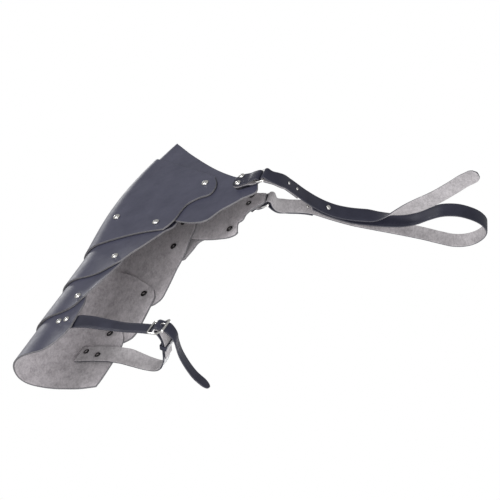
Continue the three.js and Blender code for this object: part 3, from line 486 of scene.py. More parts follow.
def turned(profile, sides, foot, axis):
    """Profile of radius and height turned round an axis: points and faces, each pole one point."""
    a, b, n = frame_of(axis)
    angle = 2 * math.pi * np.arange(sides) / sides
    ring = np.cos(angle)[:, None] * a + np.sin(angle)[:, None] * b
    body = profile[1:-1]
    points = [foot + profile[0][1] * n]
    for radius, height in body:
        points.extend(foot + radius * ring + height * n)
    points.append(foot + profile[-1][1] * n)
    faces = []
    for k in range(len(body) - 1):
        low = 1 + k * sides
        faces.extend(ring_faces(low, low + sides, sides))
    around = np.arange(sides)
    last = len(points) - 1
    final = 1 + (len(body) - 1) * sides
    faces.extend([[0, int(1 + (k + 1) % sides), int(1 + k)] for k in around])
    faces.extend([[last, int(final + k), int(final + (k + 1) % sides)] for k in around])
    return np.array(points), faces


def swept(path, radius, sides, closed):
    """Round wire along a path: rings of points square to the path, each turned as little as it can be from
    the one before. An open wire gets a flat face at each end."""
    path = np.asarray(path, float)
    count = len(path)
    if closed:
        along = unit(np.roll(path, -1, axis=0) - np.roll(path, 1, axis=0))
    else:
        along = unit(np.gradient(path, axis=0))
    radius = np.broadcast_to(radius, (count,))
    side = frame_of(along[0])[0]
    angle = 2 * math.pi * np.arange(sides) / sides
    rings = []
    for k in range(count):
        side = unit(side - along[k] * (side @ along[k]))
        other = np.cross(along[k], side)
        circle = np.cos(angle)[:, None] * side + np.sin(angle)[:, None] * other
        rings.append(path[k] + radius[k] * circle)
    points = np.concatenate(rings)
    faces = []
    for k in range(count if closed else count - 1):
        faces.extend(ring_faces(k * sides, (k + 1) % count * sides, sides))
    if not closed:
        around = np.arange(sides)
        faces.append(around[::-1].tolist())
        faces.append((around + (count - 1) * sides).tolist())
    return points, faces


def joined(parts):
    """Points and faces of several bodies in one list."""
    points = []
    faces = []
    start = 0
    for part_points, part_faces in parts:
        points.append(part_points)
        faces.extend([[n + start for n in face] for face in part_faces])
        start += len(part_points)
    return np.concatenate(points), faces


span_steps = 48


class Line:
    """Smooth line through points: a centripetal cubic in each span, read at distances along it."""

    def __init__(self, points):
        """Reads the line at even steps of each span and measures it as the sum of its short chords."""
        p = np.asarray(points, float)
        first = 2 * p[0] - p[1]
        last = 2 * p[-1] - p[-2]
        p = np.concatenate([[first], p, [last]])
        t = np.linspace(0, 1, span_steps, endpoint=False)[:, None]
        spans = []
        for k in range(1, len(p) - 2):
            p0, p1, p2, p3 = p[k - 1:k + 3]
            chords = (p1 - p0, p2 - p1, p3 - p2)
            d0, d1, d2 = [math.sqrt(max(np.linalg.norm(chord), least_span)) for chord in chords]
            m1 = ((p1 - p0) / d0 - (p2 - p0) / (d0 + d1) + (p2 - p1) / d1) * d1
            m2 = ((p2 - p1) / d1 - (p3 - p1) / (d1 + d2) + (p3 - p2) / d2) * d1
            spans.append(p1 + m1 * t + (-3 * p1 + 3 * p2 - 2 * m1 - m2) * t**2
                         + (2 * p1 - 2 * p2 + m1 + m2) * t**3)
        self.points = np.concatenate(spans + [p[-2:-1]])
        steps = np.linalg.norm(np.diff(self.points, axis=0), axis=1)
        self.distance = np.concatenate([[0], np.cumsum(steps)])
        self.length = self.distance[-1]
        self.tangents = unit(np.gradient(self.points, axis=0))

    def at(self, distance):
        """Places at distances along the line."""
        return np.stack([np.interp(distance, self.distance, c) for c in self.points.T], axis=-1)

    def tangent(self, distance):
        """Directions of the line at distances along it."""
        return unit(np.stack([np.interp(distance, self.distance, c) for c in self.tangents.T], axis=-1))


# Straps

fold_clear = 2.5 * gap
fold_radius = wire + fold_clear + strap_leather / 2
fold_easing = 14
fold_points = 13
blunt_tip = 0.12


def folded(route, return_length, step):
    """Strap folded round a bar at the start of a flat route, as points in its plane: the return end on the
    route's right, a half circle round the bar, then the route. Both lays ease from the fold's radius to
    flat."""
    line = Line(route)
    first = line.tangent(0.0)
    lay = strap_leather + gap

    def ease(distance):
        """1 at the bar and 0 past the fold's easing, as the square of what is left of it."""
        return np.maximum(0, 1 - distance / fold_easing) ** 2

    def beside(distance, shift):
        """Places shifted to the left of the route at distances along it."""
        t = line.tangent(distance)
        return line.at(distance) + np.stack([-t[:, 1], t[:, 0]], axis=-1) * shift[:, None]

    return_steps = math.ceil(return_length / step)
    back = np.arange(return_steps, 0, -1) / return_steps * return_length
    returned = beside(back, -lay - (fold_radius - lay) * ease(back))
    a = math.pi * (np.linspace(0, 1, fold_points) - 0.5)
    bow = -np.cos(a) * fold_radius
    rise = np.sin(a) * fold_radius
    bend = np.asarray(route[0]) + np.stack([first[0] * bow - first[1] * rise,
                                            first[1] * bow + first[0] * rise], axis=-1)
    count = round(line.length / step)
    ahead = np.arange(1, count + 1) / count * line.length
    main = beside(ahead, fold_radius * ease(ahead))
    return np.concatenate([returned, bend, main])


def pointed(points, width, tip_length):
    """Widths along a strap whose far end is a rounded point: the half circle's rule over the tip's length."""
    steps = np.linalg.norm(np.diff(points, axis=0), axis=1)
    left = np.concatenate([np.cumsum(steps[::-1])[::-1], [0]])
    share = np.clip(1 - left / tip_length, 0, 1)
    return width * np.maximum(np.sqrt(1 - share**2), blunt_tip)


# Section of a strap from edge to edge, in half widths from -1 to 1: how far its hair side and its flesh side
# lie below flat there
section_places = np.array([-1, -0.955, -0.9, -0.84, -0.8, -0.76, -0.7, -0.35, 0,
                           0.35, 0.7, 0.76, 0.8, 0.84, 0.9, 0.955, 1])
section_falls = np.array([0.55, 0.22, 0.06, 0.1, 0.3, 0.1, 0.02, 0, 0,
                          0, 0.02, 0.1, 0.3, 0.1, 0.06, 0.22, 0.55])
flesh_falls = np.array([0.4, 0.12, 0, 0, 0, 0, 0, 0, 0, 0, 0, 0, 0, 0, 0, 0.12, 0.4])


def strap(name, points, widths, sides, hair_outside=True):
    """Strap along points: at each a section across it, square to the line, thick by the strap's leather,
    with a creased line near each edge of its hair side and rounded edges."""
    along = unit(np.gradient(points, axis=0))
    across = unit(sides - along * np.sum(sides * along, axis=1, keepdims=True))
    normal = unit(np.cross(across, along))
    half = strap_leather / 2
    outer_falls, inner_falls = section_falls, flesh_falls
    finish = strap_finish
    if not hair_outside:
        outer_falls, inner_falls = flesh_falls, section_falls
        finish = [strap_flesh, strap_hair, strap_edge]
    places = section_places[None, :, None] * (widths / 2)[:, None, None] * across[:, None, :]
    outer = points[:, None, :] + places + normal[:, None, :] * (half - outer_falls)[None, :, None]
    inner = points[:, None, :] + places - normal[:, None, :] * (half - inner_falls)[None, :, None]
    return closed_sheet(name, outer, inner, finish, strap_smooth)


# Materials, with the scale of each noise in patches per metre

mottling_scale = 34
wear_scale = 120
pore_scale = 1500
grain_scale = 240
wrinkle_scale = 22
cloud_scale = 70
fibre_scale = 420
nap_scale = 260
layer_scale = 700
scuff_scale = 900


def new_material(name):
    """Empty principled material: its nodes, links and shader."""
    material = bpy.data.materials.new(name)
    material.use_nodes = True
    nodes = material.node_tree.nodes
    return material, nodes, material.node_tree.links, nodes["Principled BSDF"]


def noise(nodes, links, scale, detail, rough=0.55, stretch=None):
    """Noise over the piece's own coordinates, with an optional stretch along its axes."""
    place = nodes.new("ShaderNodeTexCoord")
    texture = nodes.new("ShaderNodeTexNoise")
    texture.inputs["Scale"].default_value = scale
    texture.inputs["Detail"].default_value = detail
    texture.inputs["Roughness"].default_value = rough
    source = place.outputs["Object"]
    if stretch:
        mapping = nodes.new("ShaderNodeMapping")
        mapping.inputs["Scale"].default_value = stretch
        links.new(source, mapping.inputs["Vector"])
        source = mapping.outputs["Vector"]
    links.new(source, texture.inputs["Vector"])
    return texture.outputs["Fac"]


def two_tones(nodes, links, source, dark, light, low, high):
    """Colour that runs from dark at a low value to light at a high one."""
    node = nodes.new("ShaderNodeValToRGB")
    first, last = node.color_ramp.elements
    first.position = low
    first.color = (*dark, 1)
    last.position = high
    last.color = (*light, 1)
    links.new(source, node.inputs["Fac"])
    return node.outputs["Color"]


def scaled_value(nodes, links, source, low, high):
    """Value of 0 to 1 mapped to low to high."""
    node = nodes.new("ShaderNodeMapRange")
    node.inputs["To Min"].default_value = low
    node.inputs["To Max"].default_value = high
    links.new(source, node.inputs["Value"])
    return node.outputs["Result"]


def bump(nodes, links, source, strength, height, before=None):
    """Relief from a value, of a height in millimetres, laid on an earlier relief if there is one."""
    node = nodes.new("ShaderNodeBump")
    node.inputs["Strength"].default_value = strength
    node.inputs["Distance"].default_value = height * MM
    links.new(source, node.inputs["Height"])
    if before:
        links.new(before, node.inputs["Normal"])
    return node.outputs["Normal"]


def hair_leather(name, dark, light, roughness):
    """Smooth dyed face: slow mottling of two close colours, pores as small cells, a fine grain and long soft
    wrinkles. Its gloss is a little worn in patches."""
    material, nodes, links, shader = new_material(name)
    mottling = noise(nodes, links, mottling_scale, detail=6, rough=0.62)
    color = two_tones(nodes, links, mottling, dark, light, low=0.3, high=0.72)
    links.new(color, shader.inputs["Base Color"])
    wear = noise(nodes, links, wear_scale, detail=4)
    worn = scaled_value(nodes, links, wear, low=roughness - 0.07, high=roughness + 0.1)
    links.new(worn, shader.inputs["Roughness"])
    pores = nodes.new("ShaderNodeTexVoronoi")
    pores.inputs["Scale"].default_value = pore_scale
    place = nodes.new("ShaderNodeTexCoord")
    links.new(place.outputs["Object"], pores.inputs["Vector"])
    grain = noise(nodes, links, grain_scale, detail=5)
    wrinkles = noise(nodes, links, wrinkle_scale, detail=3)
    relief = bump(nodes, links, pores.outputs["Distance"], strength=0.22, height=0.12)
    relief = bump(nodes, links, grain, strength=0.16, height=0.3, before=relief)
    relief = bump(nodes, links, wrinkles, strength=0.12, height=1.2, before=relief)
    links.new(relief, shader.inputs["Normal"])
    shader.inputs["Specular IOR Level"].default_value = 0.3
    return material


def flesh_leather(name, dark, light):
    """Napped back of the leather: short fibres as fine noise over slow cloudy patches, raised by the fibres
    and by a coarser nap."""
    material, nodes, links, shader = new_material(name)
    clouds = noise(nodes, links, cloud_scale, detail=9, rough=0.78)
    fibres = noise(nodes, links, fibre_scale, detail=8, rough=0.85, stretch=(1.0, 1.0, 0.4))
    nap = noise(nodes, links, nap_scale, detail=6)
    mix = nodes.new("ShaderNodeMix")
    mix.data_type = "FLOAT"
    first_value, second_value = mix.inputs[2], mix.inputs[3]
    mix.inputs["Factor"].default_value = 0.55
    links.new(clouds, first_value)
    links.new(fibres, second_value)
    color = two_tones(nodes, links, mix.outputs[0], dark, light, low=0.41, high=0.57)
    links.new(color, shader.inputs["Base Color"])
    relief = bump(nodes, links, fibres, strength=0.6, height=0.4)
    relief = bump(nodes, links, nap, strength=0.3, height=0.5, before=relief)
    links.new(relief, shader.inputs["Normal"])
    shader.inputs["Roughness"].default_value = 0.95
    shader.inputs["Specular IOR Level"].default_value = 0.2
    shader.inputs["Sheen Weight"].default_value = 0.25
    shader.inputs["Sheen Roughness"].default_value = 0.6
    return material


def cut_leather(name, dark, light):
    """Cut edge: layered fibres as fine noise, in colour and in relief, and a rough surface."""
    material, nodes, links, shader = new_material(name)
    layers = noise(nodes, links, layer_scale, detail=5, rough=0.7)
    links.new(two_tones(nodes, links, layers, dark, light, low=0.3, high=0.7), shader.inputs["Base Color"])
    links.new(bump(nodes, links, layers, strength=0.35, height=0.3), shader.inputs["Normal"])
    shader.inputs["Roughness"].default_value = 0.8
    return material


def plated_metal(name, dark, light, roughness):
    """Plated metal with faint scuffs in its colour, gloss and surface."""
    material, nodes, links, shader = new_material(name)
    scuffs = noise(nodes, links, scuff_scale, detail=4)
    links.new(two_tones(nodes, links, scuffs, dark, light, low=0.3, high=0.7), shader.inputs["Base Color"])
    gloss = scaled_value(nodes, links, scuffs, low=roughness, high=roughness + 0.14)
    links.new(gloss, shader.inputs["Roughness"])
    links.new(bump(nodes, links, scuffs, strength=0.08, height=0.05), shader.inputs["Normal"])
    shader.inputs["Metallic"].default_value = 1
    return material


plate_hair = hair_leather("plate_hair_side", (0.04, 0.0412, 0.066), (0.061, 0.062, 0.093), 0.42)
strap_hair = hair_leather("strap_hair_side", (0.015, 0.0155, 0.027), (0.027, 0.028, 0.045), 0.38)
flesh = flesh_leather("flesh_side", (0.245, 0.228, 0.24), (0.47, 0.44, 0.46))
strap_flesh = flesh_leather("strap_flesh_side", (0.23, 0.217, 0.226), (0.42, 0.398, 0.412))
cut_edge = cut_leather("plate_cut_edge", (0.075, 0.073, 0.08), (0.2, 0.193, 0.205))
strap_edge = cut_leather("strap_painted_edge", (0.03, 0.03, 0.04), (0.07, 0.07, 0.085))
nickel = plated_metal("nickel", (0.62, 0.61, 0.59), (0.78, 0.77, 0.75), 0.14)
dark_nickel = plated_metal("dark_nickel", (0.025, 0.025, 0.026), (0.09, 0.088, 0.09), 0.34)

plate_finish = [plate_hair, flesh, cut_edge]
strap_finish = [strap_hair, strap_flesh, strap_edge]


def dressed(obj, node):
    """Makes a piece stand for its node and ride with the part."""
    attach(obj, "root")
    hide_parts(node)


def metal_piece(node, points, faces):
    """Bright metal fitting that stands for a node."""
    obj = make_object(f"{node}_metal", points, faces, [nickel], np.zeros(len(faces)), wire_smooth)
    dressed(obj, node)


# Plates

for plate_name in plates:
    grid_s, grid_turn = plate_grid(plate_name, plate_rows, crown_columns, side_columns)
    outer_face = face_point(plate_name, grid_s, grid_turn, 0)
    inner_face = face_point(plate_name, grid_s, grid_turn, leather)
    sheet = closed_sheet(f"{plate_name}_leather", outer_face, inner_face, plate_finish, sheet_smooth)
    dressed(bevelled(sheet), plate_name)


# Rivets

rivet_sides = 28
dome_steps = 8

# Set end of a rivet from its middle outwards: shares of the tail's radius and of its height. The set end is
# dark metal except its middle, left bright nickel out to a share of the radius as a painted glint.
set_end_shares = [(0, 0.75), (0.22, 0.72), (0.4, 0.5), (0.52, 0.85), (0.68, 1), (0.86, 0.8), (1, 0.25),
                  (0.97, 0)]
painted_glint_share = 0.42

# Cap of a rivet: height of its rim and of the dome's foot as shares of the dome, and the foot's radius as a
# share of the head's
rim_share = 0.12
dome_foot_share = 0.18
dome_foot_width = 0.985


def rivet(node, outer, inner, head):
    """Rivet from an outer to an inner face: a domed cap with a thin rim, a shank, and a set end pressed into
    a ring with a dimple, all one profile turned round the rivet's axis."""
    axis = unit(outer - inner)
    size = head / rivet_head
    dome = rivet_dome * size
    tail = rivet_tail * size
    shank = rivet_shank * size
    span = float(np.linalg.norm(outer - inner)) + 2 * rivet_seat
    foot = inner - axis * rivet_seat
    set_end = [(radius * tail, -height * rivet_tail_height) for radius, height in set_end_shares]
    arc = np.linspace(0, right_angle, dome_steps)[:-1]
    dome_foot = span + dome_foot_share * dome
    dome_rise = (1 - dome_foot_share) * dome
    cap = [(head * dome_foot_width * math.cos(a), dome_foot + dome_rise * math.sin(a)) for a in arc]
    rim = [(head, span), (head, span + rim_share * dome)]
    profile = set_end + [(shank, 0), (shank, span)] + rim + cap + [(0, span + dome)]
    points, faces = turned(profile, rivet_sides, foot, axis)
    middle = np.array([points[face].mean(axis=0) for face in faces])
    height = (middle - foot) @ axis
    radius = np.linalg.norm(middle - foot - height[:, None] * axis, axis=1)
    # Dark metal on the set end outside its middle; the bright nickel middle is a painted glint
    kinds = ((height < span / 2) & (radius > painted_glint_share * tail)).astype(int)
    obj = make_object(f"{node}_metal", points, faces, [nickel, dark_nickel], kinds, rivet_smooth)
    dressed(obj, node)


for node, over, under, s, share in plate_rivets:
    turn = turn_at(s, share * side_depth)
    rivet(node, face_point(over, s, turn, 0), face_point(under, s, turn, leather), rivet_head)


# Arm straps and buckle

arm_share = 0.862
buckle_share = 0.822
arm_lean = float(through(leans, arm_share))
down_arm = np.array([-math.cos(arm_lean), 0, -math.sin(arm_lean)])
depth_axis = np.array([math.sin(arm_lean), 0, -math.cos(arm_lean)])


def arm_point(s, depth, y):
    """Point in the plane of the arm straps: down the section's lean by the depth, and sideways by y."""
    x, z = crown_at(s)
    return np.stack([x + math.sin(arm_lean) * depth - origin_x, y + 0 * depth,
                     z - math.cos(arm_lean) * depth - origin_z], axis=-1)


# Room between the lower lame and the roots of the straps under it
root_rise = 1.1
root_drop = leather + root_rise + strap_leather / 2


def root_points(s, shares):
    """Points under the lower lame at one share of the crown line and several shares of the side depth."""
    turn = turn_at(s, np.asarray(shares) * side_depth)
    return face_point("lower_lame", s + 0 * turn, turn, root_drop)


bar_depth_share = 0.935
bar_spread_share = -0.2
end_bar_step = 2.2 * wire
bar_depth = bar_depth_share * arm_reach
bar_y = bar_spread_share * arm_spread
end_bar_y = bar_y - end_bar_step
half_buckle = buckle_length / 2
quarter_buckle = buckle_length / 4
under_bar = end_bar_y + wire + gap + strap_leather / 2
over_bar = bar_y - fold_radius - strap_leather - 3 * gap
arm_size = np.array([arm_reach, arm_spread])
between_bars = (under_bar + over_bar) / 2
arm_route = np.array([
    [0.505, -0.63], [0.58, -0.52], [0.7, -0.36], [0.785, -0.29], [0.84, -0.24]]) * arm_size
buckle_pass = np.array([
    [bar_depth - half_buckle, under_bar], [bar_depth - quarter_buckle, between_bars],
    [bar_depth, over_bar], [bar_depth + quarter_buckle, between_bars],
    [bar_depth + half_buckle, under_bar]])
tail_route = np.array([[1, -0.05], [1.0, 0.12], [0.982, 0.33], [0.962, 0.62], [0.954, 0.98],
                       [0.96, 1.33], [0.982, 1.58], [1.0, 1.76]]) * arm_size
free_part = np.concatenate([arm_route, buckle_pass, tail_route])
arm_root_shares = [-0.235, -0.27, -0.31, -0.35, -0.39, -0.415]
arm_line = Line(np.concatenate([
    root_points(arm_share, arm_root_shares),
    arm_point(arm_share, free_part[:, 0], free_part[:, 1])]))

# Places along the arm strap as shares of its length: where it reaches its narrow width, where its tail starts
# to turn, and how long the turn is
arm_steps = 170
arm_tip = 12
narrow_share = 0.38
tail_twist_share = 0.62
tail_twist_length = 0.12
tail_twist = math.radians(-20)
arm_shares = np.linspace(0, 1, arm_steps + 1)
arm_points = arm_line.at(arm_shares * arm_line.length)
narrowing = np.minimum(arm_shares / narrow_share, 1)
arm_widths = pointed(arm_points, 1, arm_tip) * (arm_root + (arm_width - arm_root) * narrowing)
tail_turns = tail_twist * smooth_step((arm_shares - tail_twist_share) / tail_twist_length)
arm_sides = spun(np.broadcast_to(down_arm, arm_points.shape), arm_line.tangent(arm_shares * arm_line.length),
                 tail_turns)
dressed(strap("arm_strap_leather", arm_points, arm_widths, arm_sides), "arm_strap")

# The buckle strap is folded round the middle bar and moves up the arm over its last share
buckle_route = np.array([
    [bar_depth_share, bar_spread_share], [0.925, 0.1], [0.89, 0.4], [0.845, 0.72], [0.79, 0.92],
    [0.735, 1], [0.655, 0.97], [0.57, 0.88], [0.5, 0.8]]) * arm_size
buckle_return = 42
buckle_turn_share = 0.6
buckle_step = 2
root_steps = 24
buckle_flat = folded(buckle_route, buckle_return, buckle_step)
flat_steps = np.linalg.norm(np.diff(buckle_flat, axis=0), axis=1)
flat_share = np.concatenate([[0], np.cumsum(flat_steps)]) / flat_steps.sum()
swing = np.maximum(0, flat_share - buckle_turn_share) / (1 - buckle_turn_share)
buckle_shares = arm_share + (buckle_share - arm_share) * swing
buckle_free = arm_point(buckle_shares, buckle_flat[:, 0], buckle_flat[:, 1])
buckle_root = Line(root_points(buckle_share, [0.425, 0.39, 0.35, 0.31, 0.27, 0.23, 0.195]))
root_run = buckle_root.at(np.linspace(0, buckle_root.length, root_steps))
buckle_points = np.concatenate([buckle_free, root_run])
free_widths = arm_width + (arm_root - arm_width) * swing
buckle_widths = np.concatenate([free_widths, np.full(root_steps, arm_root)])
buckle_sides = np.broadcast_to(down_arm, buckle_points.shape)
dressed(strap("buckle_strap_leather", buckle_points, buckle_widths, buckle_sides), "buckle_strap")

for strap_name, places in (("arm_strap", arm_strap_rivets), ("buckle_strap", buckle_strap_rivets)):
    for number, (s, share) in enumerate(places, 1):
        turn = turn_at(s, share * side_depth)
        rivet(f"rivet_{strap_name}_{number}", face_point("lower_lame", s, turn, 0),
              face_point("lower_lame", s, turn, root_drop + strap_leather / 2), strap_rivet_head)

buckle_half_width = arm_width / 2 + wire + 2 * gap
wire_sides = 14
buckle_corner = 2.2
buckle_corner_steps = 6
middle_bar_share = 0.9


def bar_end(depth, y, end):
    """End of one of the buckle's bars: end is 1 down the arm and -1 up it."""
    return arm_point(arm_share, depth, y) + down_arm * end * buckle_half_width


def rounded_corners(corners, radius, steps):
    """Closed path round corners, each one cut back by the radius and bridged by a curve of the second degree
    through its two cuts."""
    corners = np.asarray(corners, float)
    path = []
    t = np.linspace(0, 1, steps)[:, None]
    for before, corner, after in zip(np.roll(corners, 1, axis=0), corners, np.roll(corners, -1, axis=0)):
        start = corner + unit(before - corner) * radius
        end = corner + unit(after - corner) * radius
        path.extend((1 - t) ** 2 * start + 2 * t * (1 - t) * corner + t**2 * end)
    return np.array(path)


near_bar = (bar_depth - half_buckle, end_bar_y)
middle_bar = (bar_depth, bar_y)
far_bar = (bar_depth + half_buckle, end_bar_y)
frame_corners = [bar_end(*bar, 1) for bar in (near_bar, middle_bar, far_bar)]
frame_corners += [bar_end(*bar, -1) for bar in (far_bar, middle_bar, near_bar)]
frame_path = rounded_corners(frame_corners, buckle_corner, buckle_corner_steps)
middle_path = [bar_end(*middle_bar, 1), bar_end(*middle_bar, -1)]
metal_piece("buckle_frame", *joined([
    swept(frame_path, wire, wire_sides, True),
    swept(middle_path, wire * middle_bar_share, wire_sides, False)]))

# Tongue: from the middle bar over the strap to the far bar, thinner towards its tip
tongue_radius = 0.9
tongue_steps = 24
tongue_sides = 12
tongue_lift = 1.2
tongue_lift_share = 0.3
tongue_ease = 0.6
tongue_ease_share = 0.62
tongue_start = 1
tongue_past = 1.5
tongue_places = [0, 0.03, 0.9, 0.97, 1]
tongue_thickness = [0.5, 1, 0.9, 0.7, 0.3]
tongue_foot = bar_y - wire - gap - tongue_radius
tongue_top = end_bar_y - wire - gap - tongue_radius
tongue_route = np.array([
    [bar_depth - tongue_start, tongue_foot],
    [bar_depth + half_buckle * tongue_lift_share, tongue_foot - tongue_lift],
    [bar_depth + half_buckle * tongue_ease_share, tongue_top - tongue_ease],
    [bar_depth + half_buckle + tongue_past, tongue_top]])
tongue_line = Line(arm_point(arm_share, tongue_route[:, 0], tongue_route[:, 1]))
tongue_shares = np.linspace(0, 1, tongue_steps)
tongue_taper = tongue_radius * np.interp(tongue_shares, tongue_places, tongue_thickness)
tongue_path = tongue_line.at(tongue_shares * tongue_line.length)
metal_piece("buckle_tongue", *swept(tongue_path, tongue_taper, tongue_sides, False))

# Keeper: a narrow band closed round the two lays of the buckle strap
keeper_width = 6
keeper_wall = 1.5
keeper_distance = 24
keeper_edge = 0.4
keeper_edge_share = 0.985
keeper_corner = 1
keeper_corner_steps = 5
keeper_line = Line(buckle_route)
keeper_spot = keeper_line.at(keeper_distance)
keeper_tangent = keeper_line.tangent(keeper_distance)
keeper_along = depth_axis * keeper_tangent[0] + np.array([0, keeper_tangent[1], 0])
keeper_side = -depth_axis * keeper_tangent[1] + np.array([0, keeper_tangent[0], 0])
keeper_across = np.cross(keeper_side, keeper_along)
keeper_middle = (arm_point(arm_share, keeper_spot[0], keeper_spot[1])
                 - keeper_side * (strap_leather + gap) / 2)
keeper_half = np.array([arm_width / 2 + 2 * gap, strap_leather + 4 * gap])


def band_ring(grow):
    """Rounded rectangle of the keeper's section about its middle, grown by a wall."""
    x, y = keeper_half + grow
    corners = np.array([[x, y, 0], [-x, y, 0], [-x, -y, 0], [x, -y, 0]])
    return rounded_corners(corners, keeper_corner + grow, keeper_corner_steps)[:, :2]


def band_points(ring, along):
    """Ring of the keeper's section, moved along the strap."""
    return keeper_middle + ring[:, :1] * keeper_across + ring[:, 1:] * keeper_side + along * keeper_along


outside = band_ring(keeper_wall)
inside = band_ring(0)
half_band = keeper_width / 2
loops = [
    band_points(outside, keeper_edge - half_band), band_points(outside, half_band - keeper_edge),
    band_points(outside * keeper_edge_share, half_band), band_points(inside, half_band),
    band_points(inside, -half_band), band_points(outside * keeper_edge_share, -half_band)]
ring_count = len(outside)
keeper_faces = []
for number in range(len(loops)):
    following = (number + 1) % len(loops)
    keeper_faces.extend(ring_faces(number * ring_count, following * ring_count, ring_count))
keeper = make_object("strap_keeper_leather", np.concatenate(loops), keeper_faces, [strap_hair],
                     np.zeros(len(keeper_faces)), sheet_smooth)
dressed(keeper, "strap_keeper")


# Tabs with their rings on the horns of the neck plate

# A tab's middle lies at a share of the side depth. Other shares tell how far it lies flat, how far its upper
# lay bows out at the fold, and how long and how narrow its rounded end is.
tab_depth_share = 0.958
tab_tail = 9
tab_spread = 14
tab_rise = 2.1
tab_flare = 6
tab_steps = 110
tab_flat_share = 0.45
tab_bow = 0.8
tab_end_share = 0.8
tab_end_width = 0.4
ring_corner = 2
ring_corner_steps = 7
horn_down = np.array([-0.355, 0, -0.935])


def strap_mount(label, side, tab_share, reach):
    """Tab of two lays folded round a ring: its middle line in the plane of its run and the horn's outward
    direction, its width along the horn. Gives the ring's free bar and the bar's direction."""
    turn = float(turn_at(tab_share, side * tab_depth_share * side_depth))
    foot = face_point("neck_plate", tab_share, turn, 0)
    out = outward(tab_share, turn)
    across = unit(horn_down - out * (out @ horn_down))
    along = unit(np.cross(across, out))
    if along[0] < 0:
        along = -along
    low = gap + tab_rise + strap_leather / 2
    high = low + strap_leather + gap
    bar_height = (low + high) / 2

    def at(a, o):
        """Place at a distance along the tab and a height over the horn."""
        return foot + np.multiply.outer(a, along) + np.multiply.outer(o, out)

    fold = math.pi * (np.linspace(0, 1, fold_points) - 0.5)
    before_fold = reach - fold_easing / 2
    corners = np.concatenate([
        [[-tab_tail, low], [0, low], [reach * tab_flat_share, low], [before_fold, bar_height - fold_radius]],
        np.stack([reach + np.cos(fold) * fold_radius, bar_height + np.sin(fold) * fold_radius], axis=-1),
        [[before_fold, bar_height + fold_radius * tab_bow], [reach * tab_flat_share, high], [0, high],
         [-tab_tail, high]]])
    line = Line(corners)
    flat = line.at(np.linspace(0, line.length, tab_steps))
    points = at(flat[:, 0], flat[:, 1])
    f = np.clip(flat[:, 0] / reach, 0, 1)
    end = np.clip((flat[:, 0] + tab_tail) / (tab_end_share * tab_width), 0, 1)
    rounding = np.sqrt(1 - (1 - end) ** 2) * (1 - tab_end_width) + tab_end_width
    widths = (tab_width + tab_flare * (1 - f)) * rounding
    upward = np.cross(across, along) @ out > 0
    sides = np.broadcast_to(across, points.shape)
    dressed(strap(f"strap_tab_{label}_leather", points, widths, sides, not upward),
            f"strap_tab_{label}")
    bar_middle = at(reach, bar_height)
    strap_middle = bar_middle + along * ring_length
    half_bar = chest_width / 2 + wire + 3 * gap
    ring_corners = [bar_middle + across * half_bar, strap_middle + across * half_bar,
                    strap_middle - across * half_bar, bar_middle - across * half_bar]
    ring_path = rounded_corners(ring_corners, ring_corner, ring_corner_steps)
    metal_piece(f"strap_ring_{label}", *swept(ring_path, wire, wire_sides, True))
    for number, end in enumerate((-1, 1), 1):
        shift = across * end * tab_spread / 2
        rivet(f"rivet_tab_{label}_{number}", at(0, high + strap_leather / 2) + shift,
              at(0, -leather) + shift, tab_rivet_head)
    return strap_middle, across


front_bar, front_across = strap_mount("front", -1, tab_share=0.035, reach=26)
back_bar, back_across = strap_mount("back", 1, tab_share=0.045, reach=15)


# Chest strap in two parts, in one tilted plane

strap_turn = math.radians(29.8)
strap_tilt = math.radians(26.2)
run = np.array([math.cos(strap_turn), math.sin(strap_turn), 0])
strap_down = np.array([-math.sin(strap_tilt) * math.sin(strap_turn),
                       math.sin(strap_tilt) * math.cos(strap_turn), -math.cos(strap_tilt)])
toward = np.cross(strap_down, run)
strap_size = np.array([strap_reach, loop_fall])
billet_route = np.array([
    [0, 0], [0.05, -0.022], [0.111, -0.164], [0.18, -0.342], [0.248, -0.483], [0.311, -0.571],
    [0.374, -0.618], [0.441, -0.641], [0.5, -0.653], [0.56, -0.623], [0.6, -0.583], [0.64, -0.53],
    [0.674, -0.483], [0.755, -0.35], [0.837, -0.178], [0.874, -0.093], [0.915, -0.02],
    [0.935, 0.035]]) * strap_size
billet_return = 56
billet_tip = 10
billet_fold_distances = (34, 50)
loop_return = 66
loop_tip = 3
loop_fold_distance = 58
chest_step = 2.5
stud_distance = 106
loop_leaves = 122
loop_leaving = 0.15
stud_lay = strap_leather + 4 * gap
billet_line = Line(billet_route)
beside_distances = np.array([150, 136, 121, stud_distance, 92, 82], float)
beside_shift = -stud_lay - loop_leaving * np.maximum(beside_distances - loop_leaves, 0)
beside_tangent = billet_line.tangent(beside_distances)
beside = (billet_line.at(beside_distances)
          + np.stack([-beside_tangent[:, 1], beside_tangent[:, 0]], axis=-1) * beside_shift[:, None])
back_offset = back_bar - front_bar
loop_start = np.array([[back_offset @ run, back_offset @ toward]])
loop_far = np.array([
    [0.09, -0.395], [0.15, -0.46], [0.215, -0.53], [0.285, -0.61], [0.374, -0.7], [0.441, -0.75],
    [0.559, -0.83], [0.693, -0.926], [0.778, -1], [0.837, -1.043], [0.889, -1.04], [0.935, -0.995],
    [0.97, -0.91], [0.983, -0.82], [0.972, -0.74], [0.945, -0.665], [0.905, -0.605], [0.852, -0.56],
    [0.785, -0.56], [0.73, -0.61], [0.667, -0.69], [0.611, -0.725], [0.559, -0.73]]) * strap_size
loop_route = np.concatenate([loop_start, loop_far, beside])
loop_line = Line(loop_route)
blend_length = 30
lift_length = 70
twist_start = 148
twist_length = 50
free_end_twist = math.radians(-115)


